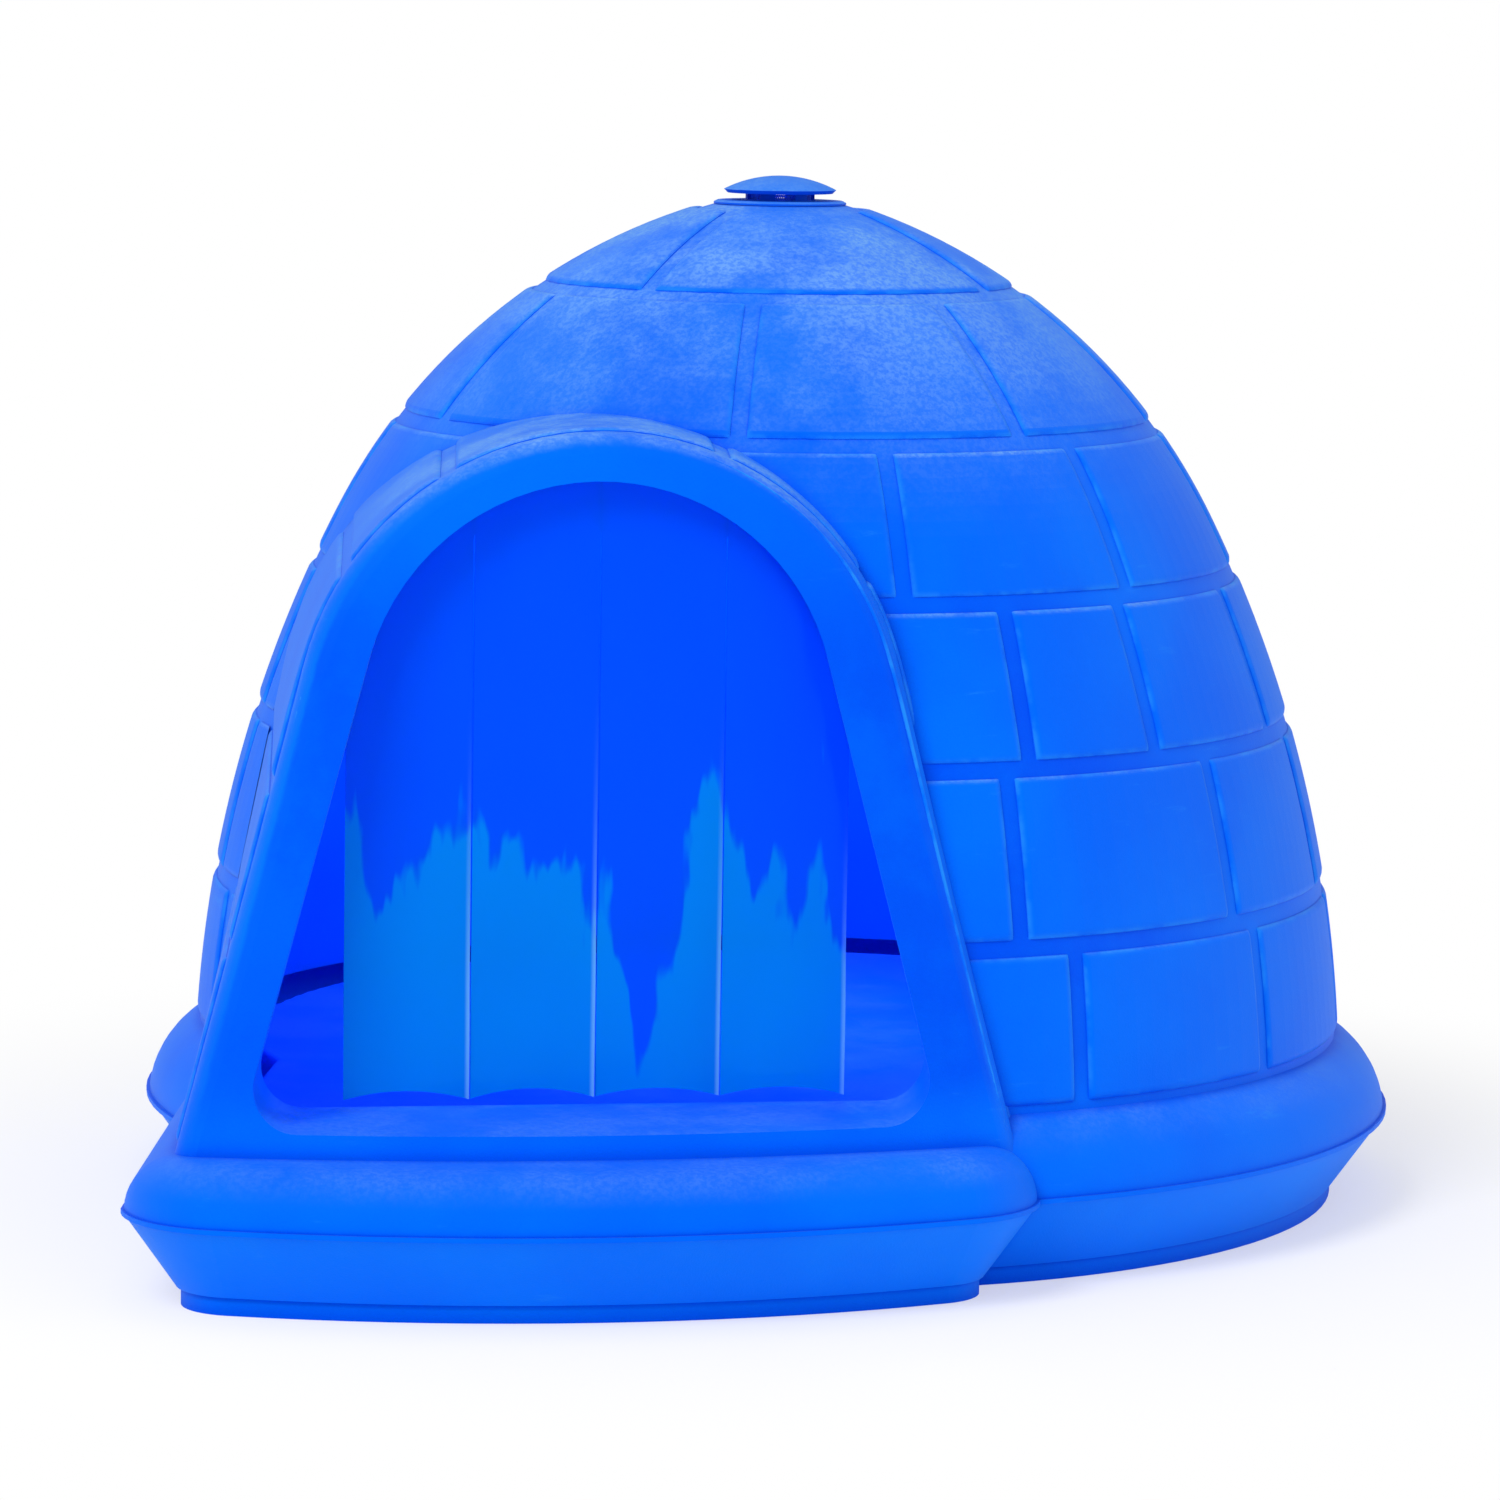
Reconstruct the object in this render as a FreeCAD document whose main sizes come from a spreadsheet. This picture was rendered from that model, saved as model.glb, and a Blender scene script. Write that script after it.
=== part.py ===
import FreeCAD, Part
import math
import os
import Sketcher

# Igloo-shaped dog house, in millimetres. +Z is up, the doorway faces -Y, and the origin is on the
# ground under the middle of the dome.

DOC = FreeCAD.newDocument("dog_house")
SHEET = DOC.addObject("Spreadsheet::Sheet", "sizes")

SIZES = (
    # moulded walls
    ("wall", 5.0),
    ("seam_height", 59.0),
    ("lip_reach", 2.0),
    ("lip_height", 3.0),
    # dome: a flank arc and a crown arc that meet at the shoulder
    ("dome_radius", 400.0),
    ("dome_centre_height", 60.0),
    ("flank_radius", 900.0),
    ("shoulder_height", 470.0),
    ("crown_radius", 420.0),
    # skirt round the dome
    ("skirt_reach", 34.0),
    ("skirt_top", 111.0),
    ("skirt_round", 62.0),
    ("foot_inset", 33.0),
    ("foot_height", 12.0),
    ("foot_step", 3.0),
    # doorway tunnel: the section at the door and the section inside the dome
    ("door_centre", -178.0),
    ("door_face", 447.0),
    ("face_height", 100.0),
    ("face_lean", 12.5),
    ("face_bow", 1100.0),
    ("face_round", 16.0),
    ("tunnel_base", 96.0),
    ("tunnel_half_width", 269.6),
    ("tunnel_lean", 15.5),
    ("tunnel_crown", 190.0),
    ("rear_centre", -126.0),
    ("rear_half_width", 268.0),
    ("rear_lean", 11.1),
    ("rear_crown", 218.0),
    # apron: the skirt round the doorway
    ("apron_front", 516.0),
    ("apron_left", 470.0),
    ("apron_right", 114.0),
    ("apron_left_rear", 400.0),
    ("apron_right_rear", 170.0),
    ("apron_bow", 735.0),
    ("apron_corner", 75.0),
    ("apron_top", 97.0),
    ("apron_round", 36.0),
    # door opening and the passage behind it
    ("sill_height", 112.0),
    ("opening_half_width", 222.3),
    ("opening_lean", 14.63),
    ("opening_crown", 150.8),
    ("opening_corner", 28.0),
    ("passage_skew", 7.3),
    ("door_plane", 335.0),
    ("land_width", 20.0),
    ("land_bottom", 330.0),
    # strip door
    ("sheet_thickness", 2.5),
    ("strip_width", 80.0),
    ("slit", 2.0),
    ("strip_gap", 4.5),
    ("side_hinge_height", 300.0),
    ("middle_hinge_drop", 34.68),
    ("hinge_gap", 0.4),
    ("clamp_thickness", 4.0),
    ("clamp_bottom", 432.0),
    ("clamp_width", 16.0),
    ("rivet_radius", 2.4),
    ("rivet_head_radius", 5.0),
    ("rivet_head_height", 2.0),
    ("rivet_hole_gap", 0.1),
    ("rivet_spread", 56.0),
    ("rivet_count", 7.0),
    # floor of the base pan
    ("floor_height", 100.0),
    ("floor_radius", 366.0),
    ("floor_inset", 50.0),
    ("floor_left_rear", 335.0),
    ("floor_gap", 17.0),
    ("floor_round", 6.0),
    ("foot_pad_radius", 40.0),
    # roof vent
    ("vent_land_radius", 44.4),
    ("vent_hole", 28.0),
    ("collar_radius", 46.0),
    ("collar_thickness", 2.5),
    ("collar_fit", 0.3),
    ("collar_bead", 1.5),
    ("bead_height", 3.0),
    ("tube_below", 2.0),
    ("stem_radius", 24.0),
    ("stem_wall", 2.5),
    ("stem_fit", 0.3),
    ("stem_below", 2.0),
    ("window_width", 14.0),
    ("window_height", 4.5),
    ("window_count", 6.0),
    ("cap_radius", 39.0),
    ("cap_edge", 2.5),
    ("cap_crown", 9.5),
    ("vent_gap", 5.0),
    ("retainer_reach", 4.0),
    ("retainer_height", 3.0),
    ("retainer_gap", 0.3),
    # fasteners of the two halves
    ("bolt_inset", 27.0),
    ("lug_margin", 16.0),
    ("lug_width", 34.0),
    ("bolt_radius", 4.0),
    ("bolt_hole_gap", 0.4),
    ("bolt_head_radius", 8.0),
    ("bolt_head_height", 5.0),
    ("bolt_tip", 4.0),
    ("apron_bolt_spread", 190.0),
    ("washer_radius", 11.0),
    ("washer_height", 1.5),
    ("nut_radius", 7.5),
    ("nut_height", 8.0),
    ("nut_fit", 0.05),
    ("wing_span", 34.0),
    ("wing_height", 14.0),
    ("wing_thickness", 3.0),
)

# directions of the bolts round the dome, in degrees from +X: none where the tunnel joins
BOLT_DIRECTIONS = (-38.0, 2.0, 42.0, 82.0, 122.0, 162.0)

for row, (alias, value) in enumerate(SIZES, start=1):
    SHEET.set(f"A{row}", alias)
    SHEET.set(f"B{row}", str(value))
    SHEET.setAlias(f"B{row}", alias)
DOC.recompute()


# --- sizes that carry both their number and the expression that binds them ---


class Size:
    def __init__(self, value, text):
        self.value = value
        self.text = text

    def __add__(self, other):
        other = as_size(other)
        return Size(self.value + other.value, f"({self.text} + {other.text})")

    def __sub__(self, other):
        other = as_size(other)
        return Size(self.value - other.value, f"({self.text} - {other.text})")

    def __mul__(self, other):
        other = as_size(other)
        return Size(self.value * other.value, f"({self.text} * {other.text})")

    def __truediv__(self, other):
        other = as_size(other)
        return Size(self.value / other.value, f"({self.text} / {other.text})")

    def __neg__(self):
        return Size(-self.value, f"(0 - {self.text})")


def as_size(number):
    if isinstance(number, Size):
        return number
    return Size(float(number), repr(float(number)))


def size(alias):
    return Size(float(SHEET.get(alias)), f"sizes.{alias}")


def root(s):
    return Size(math.sqrt(s.value), f"sqrt({s.text})")


def sine(s):
    return Size(math.sin(math.radians(s.value)), f"sin({s.text})")


def cosine(s):
    return Size(math.cos(math.radians(s.value)), f"cos({s.text})")


def tangent(s):
    return sine(s) / cosine(s)


def bind(item, prop, value):
    item.setExpression(prop, as_size(value).text)


# --- sketches and features ---


def plane_of(body, role):
    return next(f for f in body.Origin.OriginFeatures if f.Role == role)


def new_body(name):
    return DOC.addObject("PartDesign::Body", name)


def arc_between(start, end, radius, side):
    """Circle arc from start to end; side +1 puts its centre to the left of the way."""
    chord = end - start
    half = chord.Length / 2.0
    height = math.sqrt(max(radius * radius - half * half, 0.0))
    left = FreeCAD.Vector(-chord.y, chord.x, 0).normalize()
    centre = (start + end) * 0.5 + left * (side * height)
    circle = Part.Circle(centre, FreeCAD.Vector(0, 0, 1), radius)
    first, last = (start, end) if side > 0 else (end, start)
    a = math.atan2(first.y - centre.y, first.x - centre.x)
    b = math.atan2(last.y - centre.y, last.x - centre.x)
    return Part.ArcOfCircle(circle, a, b if b > a else b + 2 * math.pi)


def closed_sketch(body, name, role, corners, offset=None):
    """Closed outline. A corner is (across, up) or, where an arc leads on from it to the next
    corner, (across, up, radius, side); a radius of None is a half turn."""
    sketch = body.newObject("Sketcher::SketchObject", name)
    sketch.AttachmentSupport = [(plane_of(body, role), "")]
    sketch.MapMode = "FlatFace"
    if offset is not None:
        bind(sketch, "AttachmentOffset.Base.z", offset)
    points = [FreeCAD.Vector(as_size(c[0]).value, as_size(c[1]).value, 0) for c in corners]
    starts = []
    for i, corner in enumerate(corners):
        start, end = points[i], points[(i + 1) % len(points)]
        if len(corner) == 2:
            sketch.addGeometry(Part.LineSegment(start, end))
            starts.append((1, 2))
        else:
            side = corner[3]
            half = (end - start).Length / 2.0
            radius = half if corner[2] is None else as_size(corner[2]).value
            sketch.addGeometry(arc_between(start, end, radius, side))
            starts.append((1, 2) if side > 0 else (2, 1))
    for i, corner in enumerate(corners):
        following = (i + 1) % len(corners)
        sketch.addConstraint(
            Sketcher.Constraint("Coincident", i, starts[i][1], following, starts[following][0])
        )
        for kind, value in (("DistanceX", corner[0]), ("DistanceY", corner[1])):
            value = as_size(value)
            index = sketch.addConstraint(
                Sketcher.Constraint(kind, -1, 1, i, starts[i][0], value.value)
            )
            bind(sketch, f"Constraints[{index}]", value)
        if len(corner) > 2 and corner[2] is None:
            sketch.addConstraint(Sketcher.Constraint("Symmetric", i, 1, i, 2, i, 3))
        elif len(corner) > 2:
            radius = as_size(corner[2])
            index = sketch.addConstraint(Sketcher.Constraint("Radius", i, radius.value))
            bind(sketch, f"Constraints[{index}]", radius)
    return sketch


def revolve(body, name, corners):
    """Whole turn about Z of an outline given as (radius, height)."""
    sketch = closed_sketch(body, name + "_outline", "XZ_Plane", corners)
    turn = body.newObject("PartDesign::Revolution", name)
    turn.Profile = sketch
    turn.ReferenceAxis = (sketch, ["V_Axis"])
    turn.Angle = 360.0
    return turn


def pad(body, name, role, corners, length, offset=None, middle=False, reverse=False):
    sketch = closed_sketch(body, name + "_outline", role, corners, offset)
    extrusion = body.newObject("PartDesign::Pad", name)
    extrusion.Profile = sketch
    extrusion.Midplane = middle
    extrusion.Reversed = reverse
    bind(extrusion, "Length", length)
    return extrusion


def pocket(body, name, role, corners, length, offset=None, middle=False, reverse=False):
    sketch = closed_sketch(body, name + "_outline", role, corners, offset)
    cut = body.newObject("PartDesign::Pocket", name)
    cut.Profile = sketch
    cut.Midplane = middle
    cut.Reversed = reverse
    bind(cut, "Length", length)
    return cut


def round_common(name, base, radius, chosen):
    """Fillet of a boolean's edges that chosen(edge) picks."""
    DOC.recompute()
    fillet = DOC.addObject("Part::Fillet", name)
    fillet.Base = base
    picked = [i for i, e in enumerate(base.Shape.Edges, start=1) if chosen(e)]
    fillet.Edges = [(i, radius.value, radius.value) for i in picked]
    return fillet


def round_edges(body, name, base, radius, chosen):
    """Fillet of the base feature's edges that chosen(edge) picks."""
    DOC.recompute()
    names = [f"Edge{i}" for i, e in enumerate(base.Shape.Edges, start=1) if chosen(e)]
    fillet = body.newObject("PartDesign::Fillet", name)
    fillet.Base = (base, names)
    bind(fillet, "Radius", radius)
    return fillet


def place(item, x=0, y=0, z=0, turn=0, axis=(0, 0, 1)):
    item.Placement = FreeCAD.Placement(
        FreeCAD.Vector(as_size(x).value, as_size(y).value, as_size(z).value),
        FreeCAD.Rotation(FreeCAD.Vector(*axis), as_size(turn).value),
    )
    bind(item, "Placement.Base.x", x)
    bind(item, "Placement.Base.y", y)
    bind(item, "Placement.Base.z", z)
    bind(item, "Placement.Rotation.Angle", turn)
    return item


def cylinder(name, radius, height, **where):
    item = DOC.addObject("Part::Cylinder", name)
    bind(item, "Radius", radius)
    bind(item, "Height", height)
    return place(item, **where)


def box(name, length, width, height, **where):
    item = DOC.addObject("Part::Box", name)
    bind(item, "Length", length)
    bind(item, "Width", width)
    bind(item, "Height", height)
    return place(item, **where)


def fuse(name, *items):
    joined = DOC.addObject("Part::MultiFuse", name)
    joined.Shapes = list(items)
    return joined


def common(name, *items):
    shared = DOC.addObject("Part::MultiCommon", name)
    shared.Shapes = list(items)
    return shared


def cut(name, base, tool):
    rest = DOC.addObject("Part::Cut", name)
    rest.Base = base
    rest.Tool = tool
    return rest


def group(name, shapes):
    """Separate solids kept together in one node."""
    item = DOC.addObject("Part::Feature", name)
    item.Shape = Part.makeCompound(shapes)
    return item


# --- outlines shared by the shell, its hollow and the pieces that follow them ---

WALL = size("wall")
SEAM = size("seam_height")
BELOW = SEAM - 20  # hollows start lower than the seam, so that the shell is open there
SEAM_RADIUS = size("dome_radius") + size("skirt_reach")
FOOT_RADIUS = SEAM_RADIUS - size("foot_inset")


def flank_radius_at(height, inset):
    reach = size("flank_radius") - inset
    drop = height - size("dome_centre_height")
    return size("dome_radius") - size("flank_radius") + root(reach * reach - drop * drop)


def crown_centre():
    """Centre (radius, height) of the crown arc, on the line through the shoulder."""
    flank = size("flank_radius")
    rise = (size("shoulder_height") - size("dome_centre_height")) / flank
    run = root(as_size(1) - rise * rise)
    across = size("dome_radius") - flank + (flank - size("crown_radius")) * run
    return across, size("dome_centre_height") + (flank - size("crown_radius")) * rise, run, rise


def vent_land():
    """Height of the flat land on the crown that carries the vent."""
    across, up, run, rise = crown_centre()
    crown, land = size("crown_radius"), size("vent_land_radius") - across
    return up + root(crown * crown - land * land)


def dome_outline(inset, bottom):
    """Half section of the dome with its skirt, inset from the outside by a wall or by nothing."""
    across, up, run, rise = crown_centre()
    reach = size("crown_radius") - inset
    seam_radius = SEAM_RADIUS - inset
    skirt_top = size("skirt_top") - inset
    foot = flank_radius_at(skirt_top, inset)
    land = vent_land() - inset
    land_radius = across + root(reach * reach - (land - up) * (land - up))
    straight = [] if bottom is SEAM else [(seam_radius, bottom)]
    return [
        (0, bottom),
        *straight,
        (seam_radius, SEAM, size("skirt_round") - inset, 1),
        (foot, skirt_top, size("flank_radius") - inset, 1),
        (across + reach * run, up + reach * rise, reach, 1),
        (land_radius, land),
        (0, land),
    ]


def arch_outline(centre, half_width, base, lean, crown, inset, bottom):
    """Doorway shape: two sides that lean in to a round top, inset all round but at the bottom."""
    radius = crown - inset
    slope = tangent(lean)
    side = half_width - inset / cosine(lean)
    top_centre = base + (side * cosine(lean) - radius) / sine(lean)
    tangent_half = radius * cosine(lean)
    tangent_height = top_centre + radius * sine(lean)
    bottom_half = side - (bottom - base) * slope
    return [
        (centre - bottom_half, bottom),
        (centre + bottom_half, bottom),
        (centre + tangent_half, tangent_height, radius, 1),
        (centre, top_centre + radius, radius, 1),
        (centre - tangent_half, tangent_height),
    ]


def opening_outline(centre, outset, bottom):
    """The door opening, outset for the reveal and the land round it."""
    return arch_outline(
        centre,
        size("opening_half_width"),
        size("sill_height"),
        size("opening_lean"),
        size("opening_crown"),
        -as_size(outset),
        bottom,
    )


def apron_outline(inset):
    """Plan of the skirt round the doorway: a bowed front with round corners, open at the back."""
    half = (size("apron_left") + size("apron_right")) / 2
    middle = (size("apron_right") - size("apron_left")) / 2
    bow, corner = size("apron_bow"), size("apron_corner")
    bow_centre = bow - size("apron_front")
    aside = half - corner
    down = root((bow - corner) * (bow - corner) - aside * aside)
    share = (bow - inset) / (bow - corner)
    side = half - inset
    return [
        (-(size("apron_left_rear") - inset), 0),
        (middle - side, bow_centre - down, corner - inset, 1),
        (middle - aside * share, bow_centre - down * share, bow - inset, 1),
        (middle + aside * share, bow_centre - down * share, corner - inset, 1),
        (middle + side, bow_centre - down),
        (size("apron_right_rear") - inset, 0),
    ]


def at_height(height, behind):
    """Chooses the edges at one height that reach ahead of a line across the dog house."""
    level = as_size(height).value

    def chosen(edge):
        reach = edge.BoundBox
        flat = abs(reach.ZMin - level) < 0.01 and abs(reach.ZMax - level) < 0.01
        return flat and reach.YMin < behind

    return chosen


LAND = vent_land()


# --- upper shell: dome, tunnel and upper half of the skirt ---


def dome_form(name, inset, bottom):
    body = new_body(name)
    revolve(body, name + "_turn", dome_outline(inset, bottom))
    return body


def tunnel_form(name, inset, bottom):
    """Loft from the doorway to inside the dome, cut off at the bowed, leaning face."""
    body = new_body(name + "_loft")
    front = closed_sketch(
        body,
        name + "_front",
        "XZ_Plane",
        arch_outline(
            size("door_centre"),
            size("tunnel_half_width"),
            size("tunnel_base"),
            size("tunnel_lean"),
            size("tunnel_crown"),
            inset,
            bottom,
        ),
        size("door_face") + WALL * 8,
    )
    rear = closed_sketch(
        body,
        name + "_rear",
        "XZ_Plane",
        arch_outline(
            size("rear_centre"),
            size("rear_half_width"),
            size("tunnel_base"),
            size("rear_lean"),
            size("rear_crown"),
            inset,
            bottom,
        ),
    )
    loft = body.newObject("PartDesign::AdditiveLoft", name + "_walls")
    loft.Profile = front
    loft.Sections = [rear]
    loft.Ruled = True
    radius = size("face_bow") - inset
    lean = size("face_lean")
    depth = as_size(500)
    back = size("face_bow") / cosine(lean) - size("door_face")
    face = cylinder(
        name + "_face",
        radius,
        depth * 4,
        x=size("door_centre"),
        y=back - depth * sine(lean),
        z=size("face_height") - depth * cosine(lean),
        turn=lean,
        axis=(-1, 0, 0),
    )
    return common(name, body, face)


def apron_form(name, inset, bottom, top, edge_round=None):
    """Slab of the apron's plan, with a round top edge where one is given."""
    body = new_body(name)
    slab = pad(body, name + "_slab", "XY_Plane", apron_outline(inset), top - bottom, bottom)
    if edge_round is not None:
        round_edges(body, name + "_round", slab, edge_round, at_height(top, -100.0))
    return body


def seam_lip():
    """Thin lip that stands out all round just above the seam."""
    reach = size("lip_reach")
    dome_lip = cylinder("dome_lip", SEAM_RADIUS + reach, size("lip_height"), z=SEAM)
    apron_lip = apron_form("apron_lip", -reach, SEAM, SEAM + size("lip_height"))
    return dome_lip, apron_lip


def on_face(bottom):
    """Chooses the tunnel's front outline: edges well ahead of the dome, but not the lowest."""

    def chosen(edge):
        ends = [v.Point for v in edge.Vertexes]
        ahead = all(p.y < -size("door_plane").value for p in ends)
        return ahead and not all(abs(p.z - bottom.value) < 0.01 for p in ends)

    return chosen


def rounded_tunnel(name, inset, bottom):
    sharp = tunnel_form(name, inset, bottom)
    return round_common(name + "_rounded", sharp, size("face_round") - inset, on_face(bottom))


def upper_outside():
    return fuse(
        "upper_outside",
        dome_form("dome_outside", as_size(0), SEAM),
        rounded_tunnel("tunnel_outside", as_size(0), SEAM),
        apron_form("apron_outside", as_size(0), SEAM, size("apron_top"), size("apron_round")),
        *seam_lip(),
    )


def reveal():
    """Walls of the passage behind the opening, and the land that carries the door sheet."""
    body = new_body("reveal_walls")
    length = size("door_face")
    pad(
        body,
        "reveal_pad",
        "XZ_Plane",
        opening_outline(as_size(0), WALL, size("sill_height") - WALL),
        length,
        middle=True,
    )
    place(body, x=size("door_centre"), y=-size("door_face"), turn=-size("passage_skew"))
    ahead = box(
        "ahead_of_door_plane",
        size("door_face") * 2,
        size("door_face"),
        size("door_face") * 2,
        x=-size("door_face") - size("tunnel_half_width"),
        y=-size("door_plane") - size("door_face"),
    )
    land = new_body("door_land")
    pad(
        land,
        "door_land_pad",
        "XZ_Plane",
        opening_outline(DOOR_MIDDLE, size("land_width"), size("land_bottom")),
        WALL,
        size("door_plane"),
    )
    return fuse("reveal", common("reveal_trimmed", body, ahead), land)


def passage():
    """The clear way through the door frame, with round lower corners."""
    body = new_body("passage")
    way = pad(
        body,
        "passage_pad",
        "XZ_Plane",
        opening_outline(as_size(0), 0, size("sill_height")),
        size("door_face") - WALL * 20,
        middle=True,
    )
    sill = size("sill_height").value
    round_edges(
        body,
        "passage_corners",
        way,
        size("opening_corner"),
        lambda e: abs(e.BoundBox.ZMax - sill) < 0.01 and e.BoundBox.YLength > 10,
    )
    place(body, x=size("door_centre"), y=-size("door_face"), turn=-size("passage_skew"))
    return body


# the passage runs slightly askew, so the door sheet's middle is beside the opening's
DOOR_MIDDLE = size("door_centre") + (size("door_face") - size("door_plane")) * tangent(
    size("passage_skew")
)


def bolt_places():
    """Bolt axes as (x, y, direction from the middle in degrees)."""
    reach = SEAM_RADIUS - WALL - size("bolt_inset")
    places = []
    for direction in BOLT_DIRECTIONS:
        angle = as_size(direction)
        places.append((reach * cosine(angle), reach * sine(angle), angle))
    front = size("apron_front") - WALL - size("bolt_inset")
    bow = size("apron_bow")
    spread = size("apron_bolt_spread")
    sag = bow - root(bow * bow - spread * spread)
    middle = (size("apron_right") - size("apron_left")) / 2
    for side in (-1, 1):
        places.append((middle + spread * side, -(front - sag), as_size(-90)))
    return places


def lugs(name, bottom):
    """Tabs that reach in from the skirt at every bolt, one wall thick."""
    tabs = []
    back, width = size("lug_margin"), size("lug_width")
    length = back + size("bolt_inset") + WALL * 0.5
    for i, (x, y, direction) in enumerate(bolt_places(), start=1):
        tabs.append(
            box(
                f"{name}_{i}",
                length,
                width,
                WALL,
                x=x - back * cosine(direction) + width * 0.5 * sine(direction),
                y=y - back * sine(direction) - width * 0.5 * cosine(direction),
                z=bottom,
                turn=direction,
            )
        )
    return tabs


def bolt_holes(name, bottom):
    radius = size("bolt_radius") + size("bolt_hole_gap")
    return [
        cylinder(f"{name}_{i}", radius, WALL * 3, x=x, y=y, z=bottom - WALL)
        for i, (x, y, direction) in enumerate(bolt_places(), start=1)
    ]


def upper_shell():
    hollow = fuse(
        "upper_hollow",
        dome_form("dome_inside", WALL, BELOW),
        rounded_tunnel("tunnel_inside", WALL, BELOW),
        apron_form(
            "apron_inside", WALL, BELOW, size("apron_top") - WALL, size("apron_round") - WALL
        ),
    )
    kept = cut("hollow_round_reveal", hollow, reveal())
    walls = cut("upper_walls", upper_outside(), kept)
    tabs = common(
        "upper_tabs", fuse("upper_lugs", *lugs("upper_lug", SEAM)), DOC.getObject("upper_outside")
    )
    whole = fuse("upper_with_tabs", walls, tabs)
    vent = cylinder("vent_hole_cut", size("vent_hole"), WALL * 4, z=LAND - WALL * 2)
    holes = fuse(
        "upper_cuts",
        passage(),
        vent,
        *bolt_holes("upper_bolt_hole", SEAM),
        *rivet_holes("land_hole"),
    )
    return cut("upper_shell", whole, holes)


# --- base pan: lower half of the skirt, foot rim, trough and raised floor ---


def base_apron(name, inset, foot_inset, bottom, top):
    """Lower skirt round the doorway: a loft from the seam down to the foot."""
    body = new_body(name)
    upper = closed_sketch(body, name + "_seam", "XY_Plane", apron_outline(inset), top)
    lower = closed_sketch(body, name + "_foot", "XY_Plane", apron_outline(foot_inset), bottom)
    loft = body.newObject("PartDesign::AdditiveLoft", name + "_sides")
    loft.Profile = upper
    loft.Sections = [lower]
    loft.Ruled = True
    return body


def base_outside():
    foot, step = size("foot_height"), size("foot_step")
    dome = new_body("base_dome")
    revolve(
        dome,
        "base_dome_turn",
        [
            (0, 0),
            (FOOT_RADIUS - step, 0),
            (FOOT_RADIUS - step, foot),
            (FOOT_RADIUS, foot),
            (SEAM_RADIUS, SEAM),
            (0, SEAM),
        ],
    )
    foot_inset = size("foot_inset")
    rim = new_body("base_apron_foot")
    pad(rim, "base_apron_foot_slab", "XY_Plane", apron_outline(foot_inset + step), foot)
    return [dome, base_apron("base_apron", as_size(0), foot_inset, foot, SEAM), rim]


def base_inside():
    """Room inside the lower skirt, from just above the ground to over the seam."""
    slope = size("foot_inset") / (SEAM - size("foot_height"))
    wall_across = WALL * root(slope * slope + 1)
    dome = new_body("base_room_dome")
    foot = FOOT_RADIUS - wall_across
    revolve(
        dome,
        "base_room_dome_turn",
        [
            (0, WALL),
            (foot, WALL),
            (foot, size("foot_height")),
            (SEAM_RADIUS - wall_across, SEAM),
            (SEAM_RADIUS - wall_across, SEAM + WALL),
            (0, SEAM + WALL),
        ],
    )
    inset = size("foot_inset") + wall_across
    apron = base_apron("base_room_apron", wall_across, inset, size("foot_height"), SEAM)
    rim = new_body("base_room_rim")
    pad(
        rim,
        "base_room_rim_slab",
        "XY_Plane",
        apron_outline(inset),
        size("foot_height") - WALL,
        WALL,
    )
    over = apron_form("base_room_over", wall_across, SEAM, SEAM + WALL)
    return fuse("base_room", dome, apron, rim, over)


def floor_block(name, inset, bottom, top, rounded):
    """The raised floor as a block: a disc under the dome and a slab under the tunnel."""
    disc = new_body(name + "_disc")
    radius = size("floor_radius") - inset
    revolve(disc, name + "_disc_turn", [(0, bottom), (radius, bottom), (radius, top), (0, top)])
    side = size("floor_inset") + inset
    half = (size("apron_left") + size("apron_right")) / 2 - side
    middle = (size("apron_right") - size("apron_left")) / 2
    back = WALL + size("floor_gap") + inset
    bow = size("face_bow") - back
    corner = size("face_bow") - size("door_face") - root(bow * bow - half * half)
    slab = new_body(name + "_slab")
    pad(
        slab,
        name + "_slab_pad",
        "XY_Plane",
        [
            (-(size("floor_left_rear") - inset), 0),
            (middle - half, corner, bow, 1),
            (middle + half, corner),
            (size("apron_right_rear") - side, 0),
        ],
        top - bottom,
        bottom,
    )
    block = fuse(name, disc, slab)
    if not rounded:
        return block
    return round_common(name + "_rounded", block, size("floor_round"), at_height(top, 0.0))


def ribs():
    """Cross of ribs that carries the floor, and a foot pad where the ribs meet."""
    reach = size("apron_front") * 2
    return [
        box("rib_across", reach, WALL, size("floor_height"), x=-reach / 2, y=-WALL / 2),
        box("rib_along", WALL, reach, size("floor_height"), x=-WALL / 2, y=-reach / 2),
        cylinder("foot_pad", size("foot_pad_radius"), WALL),
    ]


def base_pan():
    floor = floor_block("floor", as_size(0), as_size(0), size("floor_height"), True)
    outside = fuse("base_solid", *base_outside(), floor)
    trough = cut("trough", base_inside(), floor)
    under = floor_block("under_floor", WALL, -WALL, size("floor_height") - WALL, False)
    hollow = cut("under_floor_hollow", under, fuse("floor_ribs", *ribs()))
    open_pan = cut("open_pan", outside, fuse("base_hollows", trough, hollow))
    below = SEAM - WALL
    tabs = common("lower_tabs", fuse("lower_lugs", *lugs("lower_lug", below)), outside)
    whole = fuse("pan_with_tabs", open_pan, tabs)
    return cut("base_pan", whole, fuse("base_cuts", *bolt_holes("lower_bolt_hole", below)))


# --- strip door ---


def door_arch_centre():
    """Height of the centre of the opening's round top."""
    side = size("opening_half_width") * cosine(size("opening_lean"))
    return size("sill_height") + (side - size("opening_crown")) / sine(size("opening_lean"))


def header_radius():
    return size("opening_crown") + size("land_width") - 1


def sheet_half():
    return size("strip_width") * 2 + size("slit") * 1.5


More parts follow.
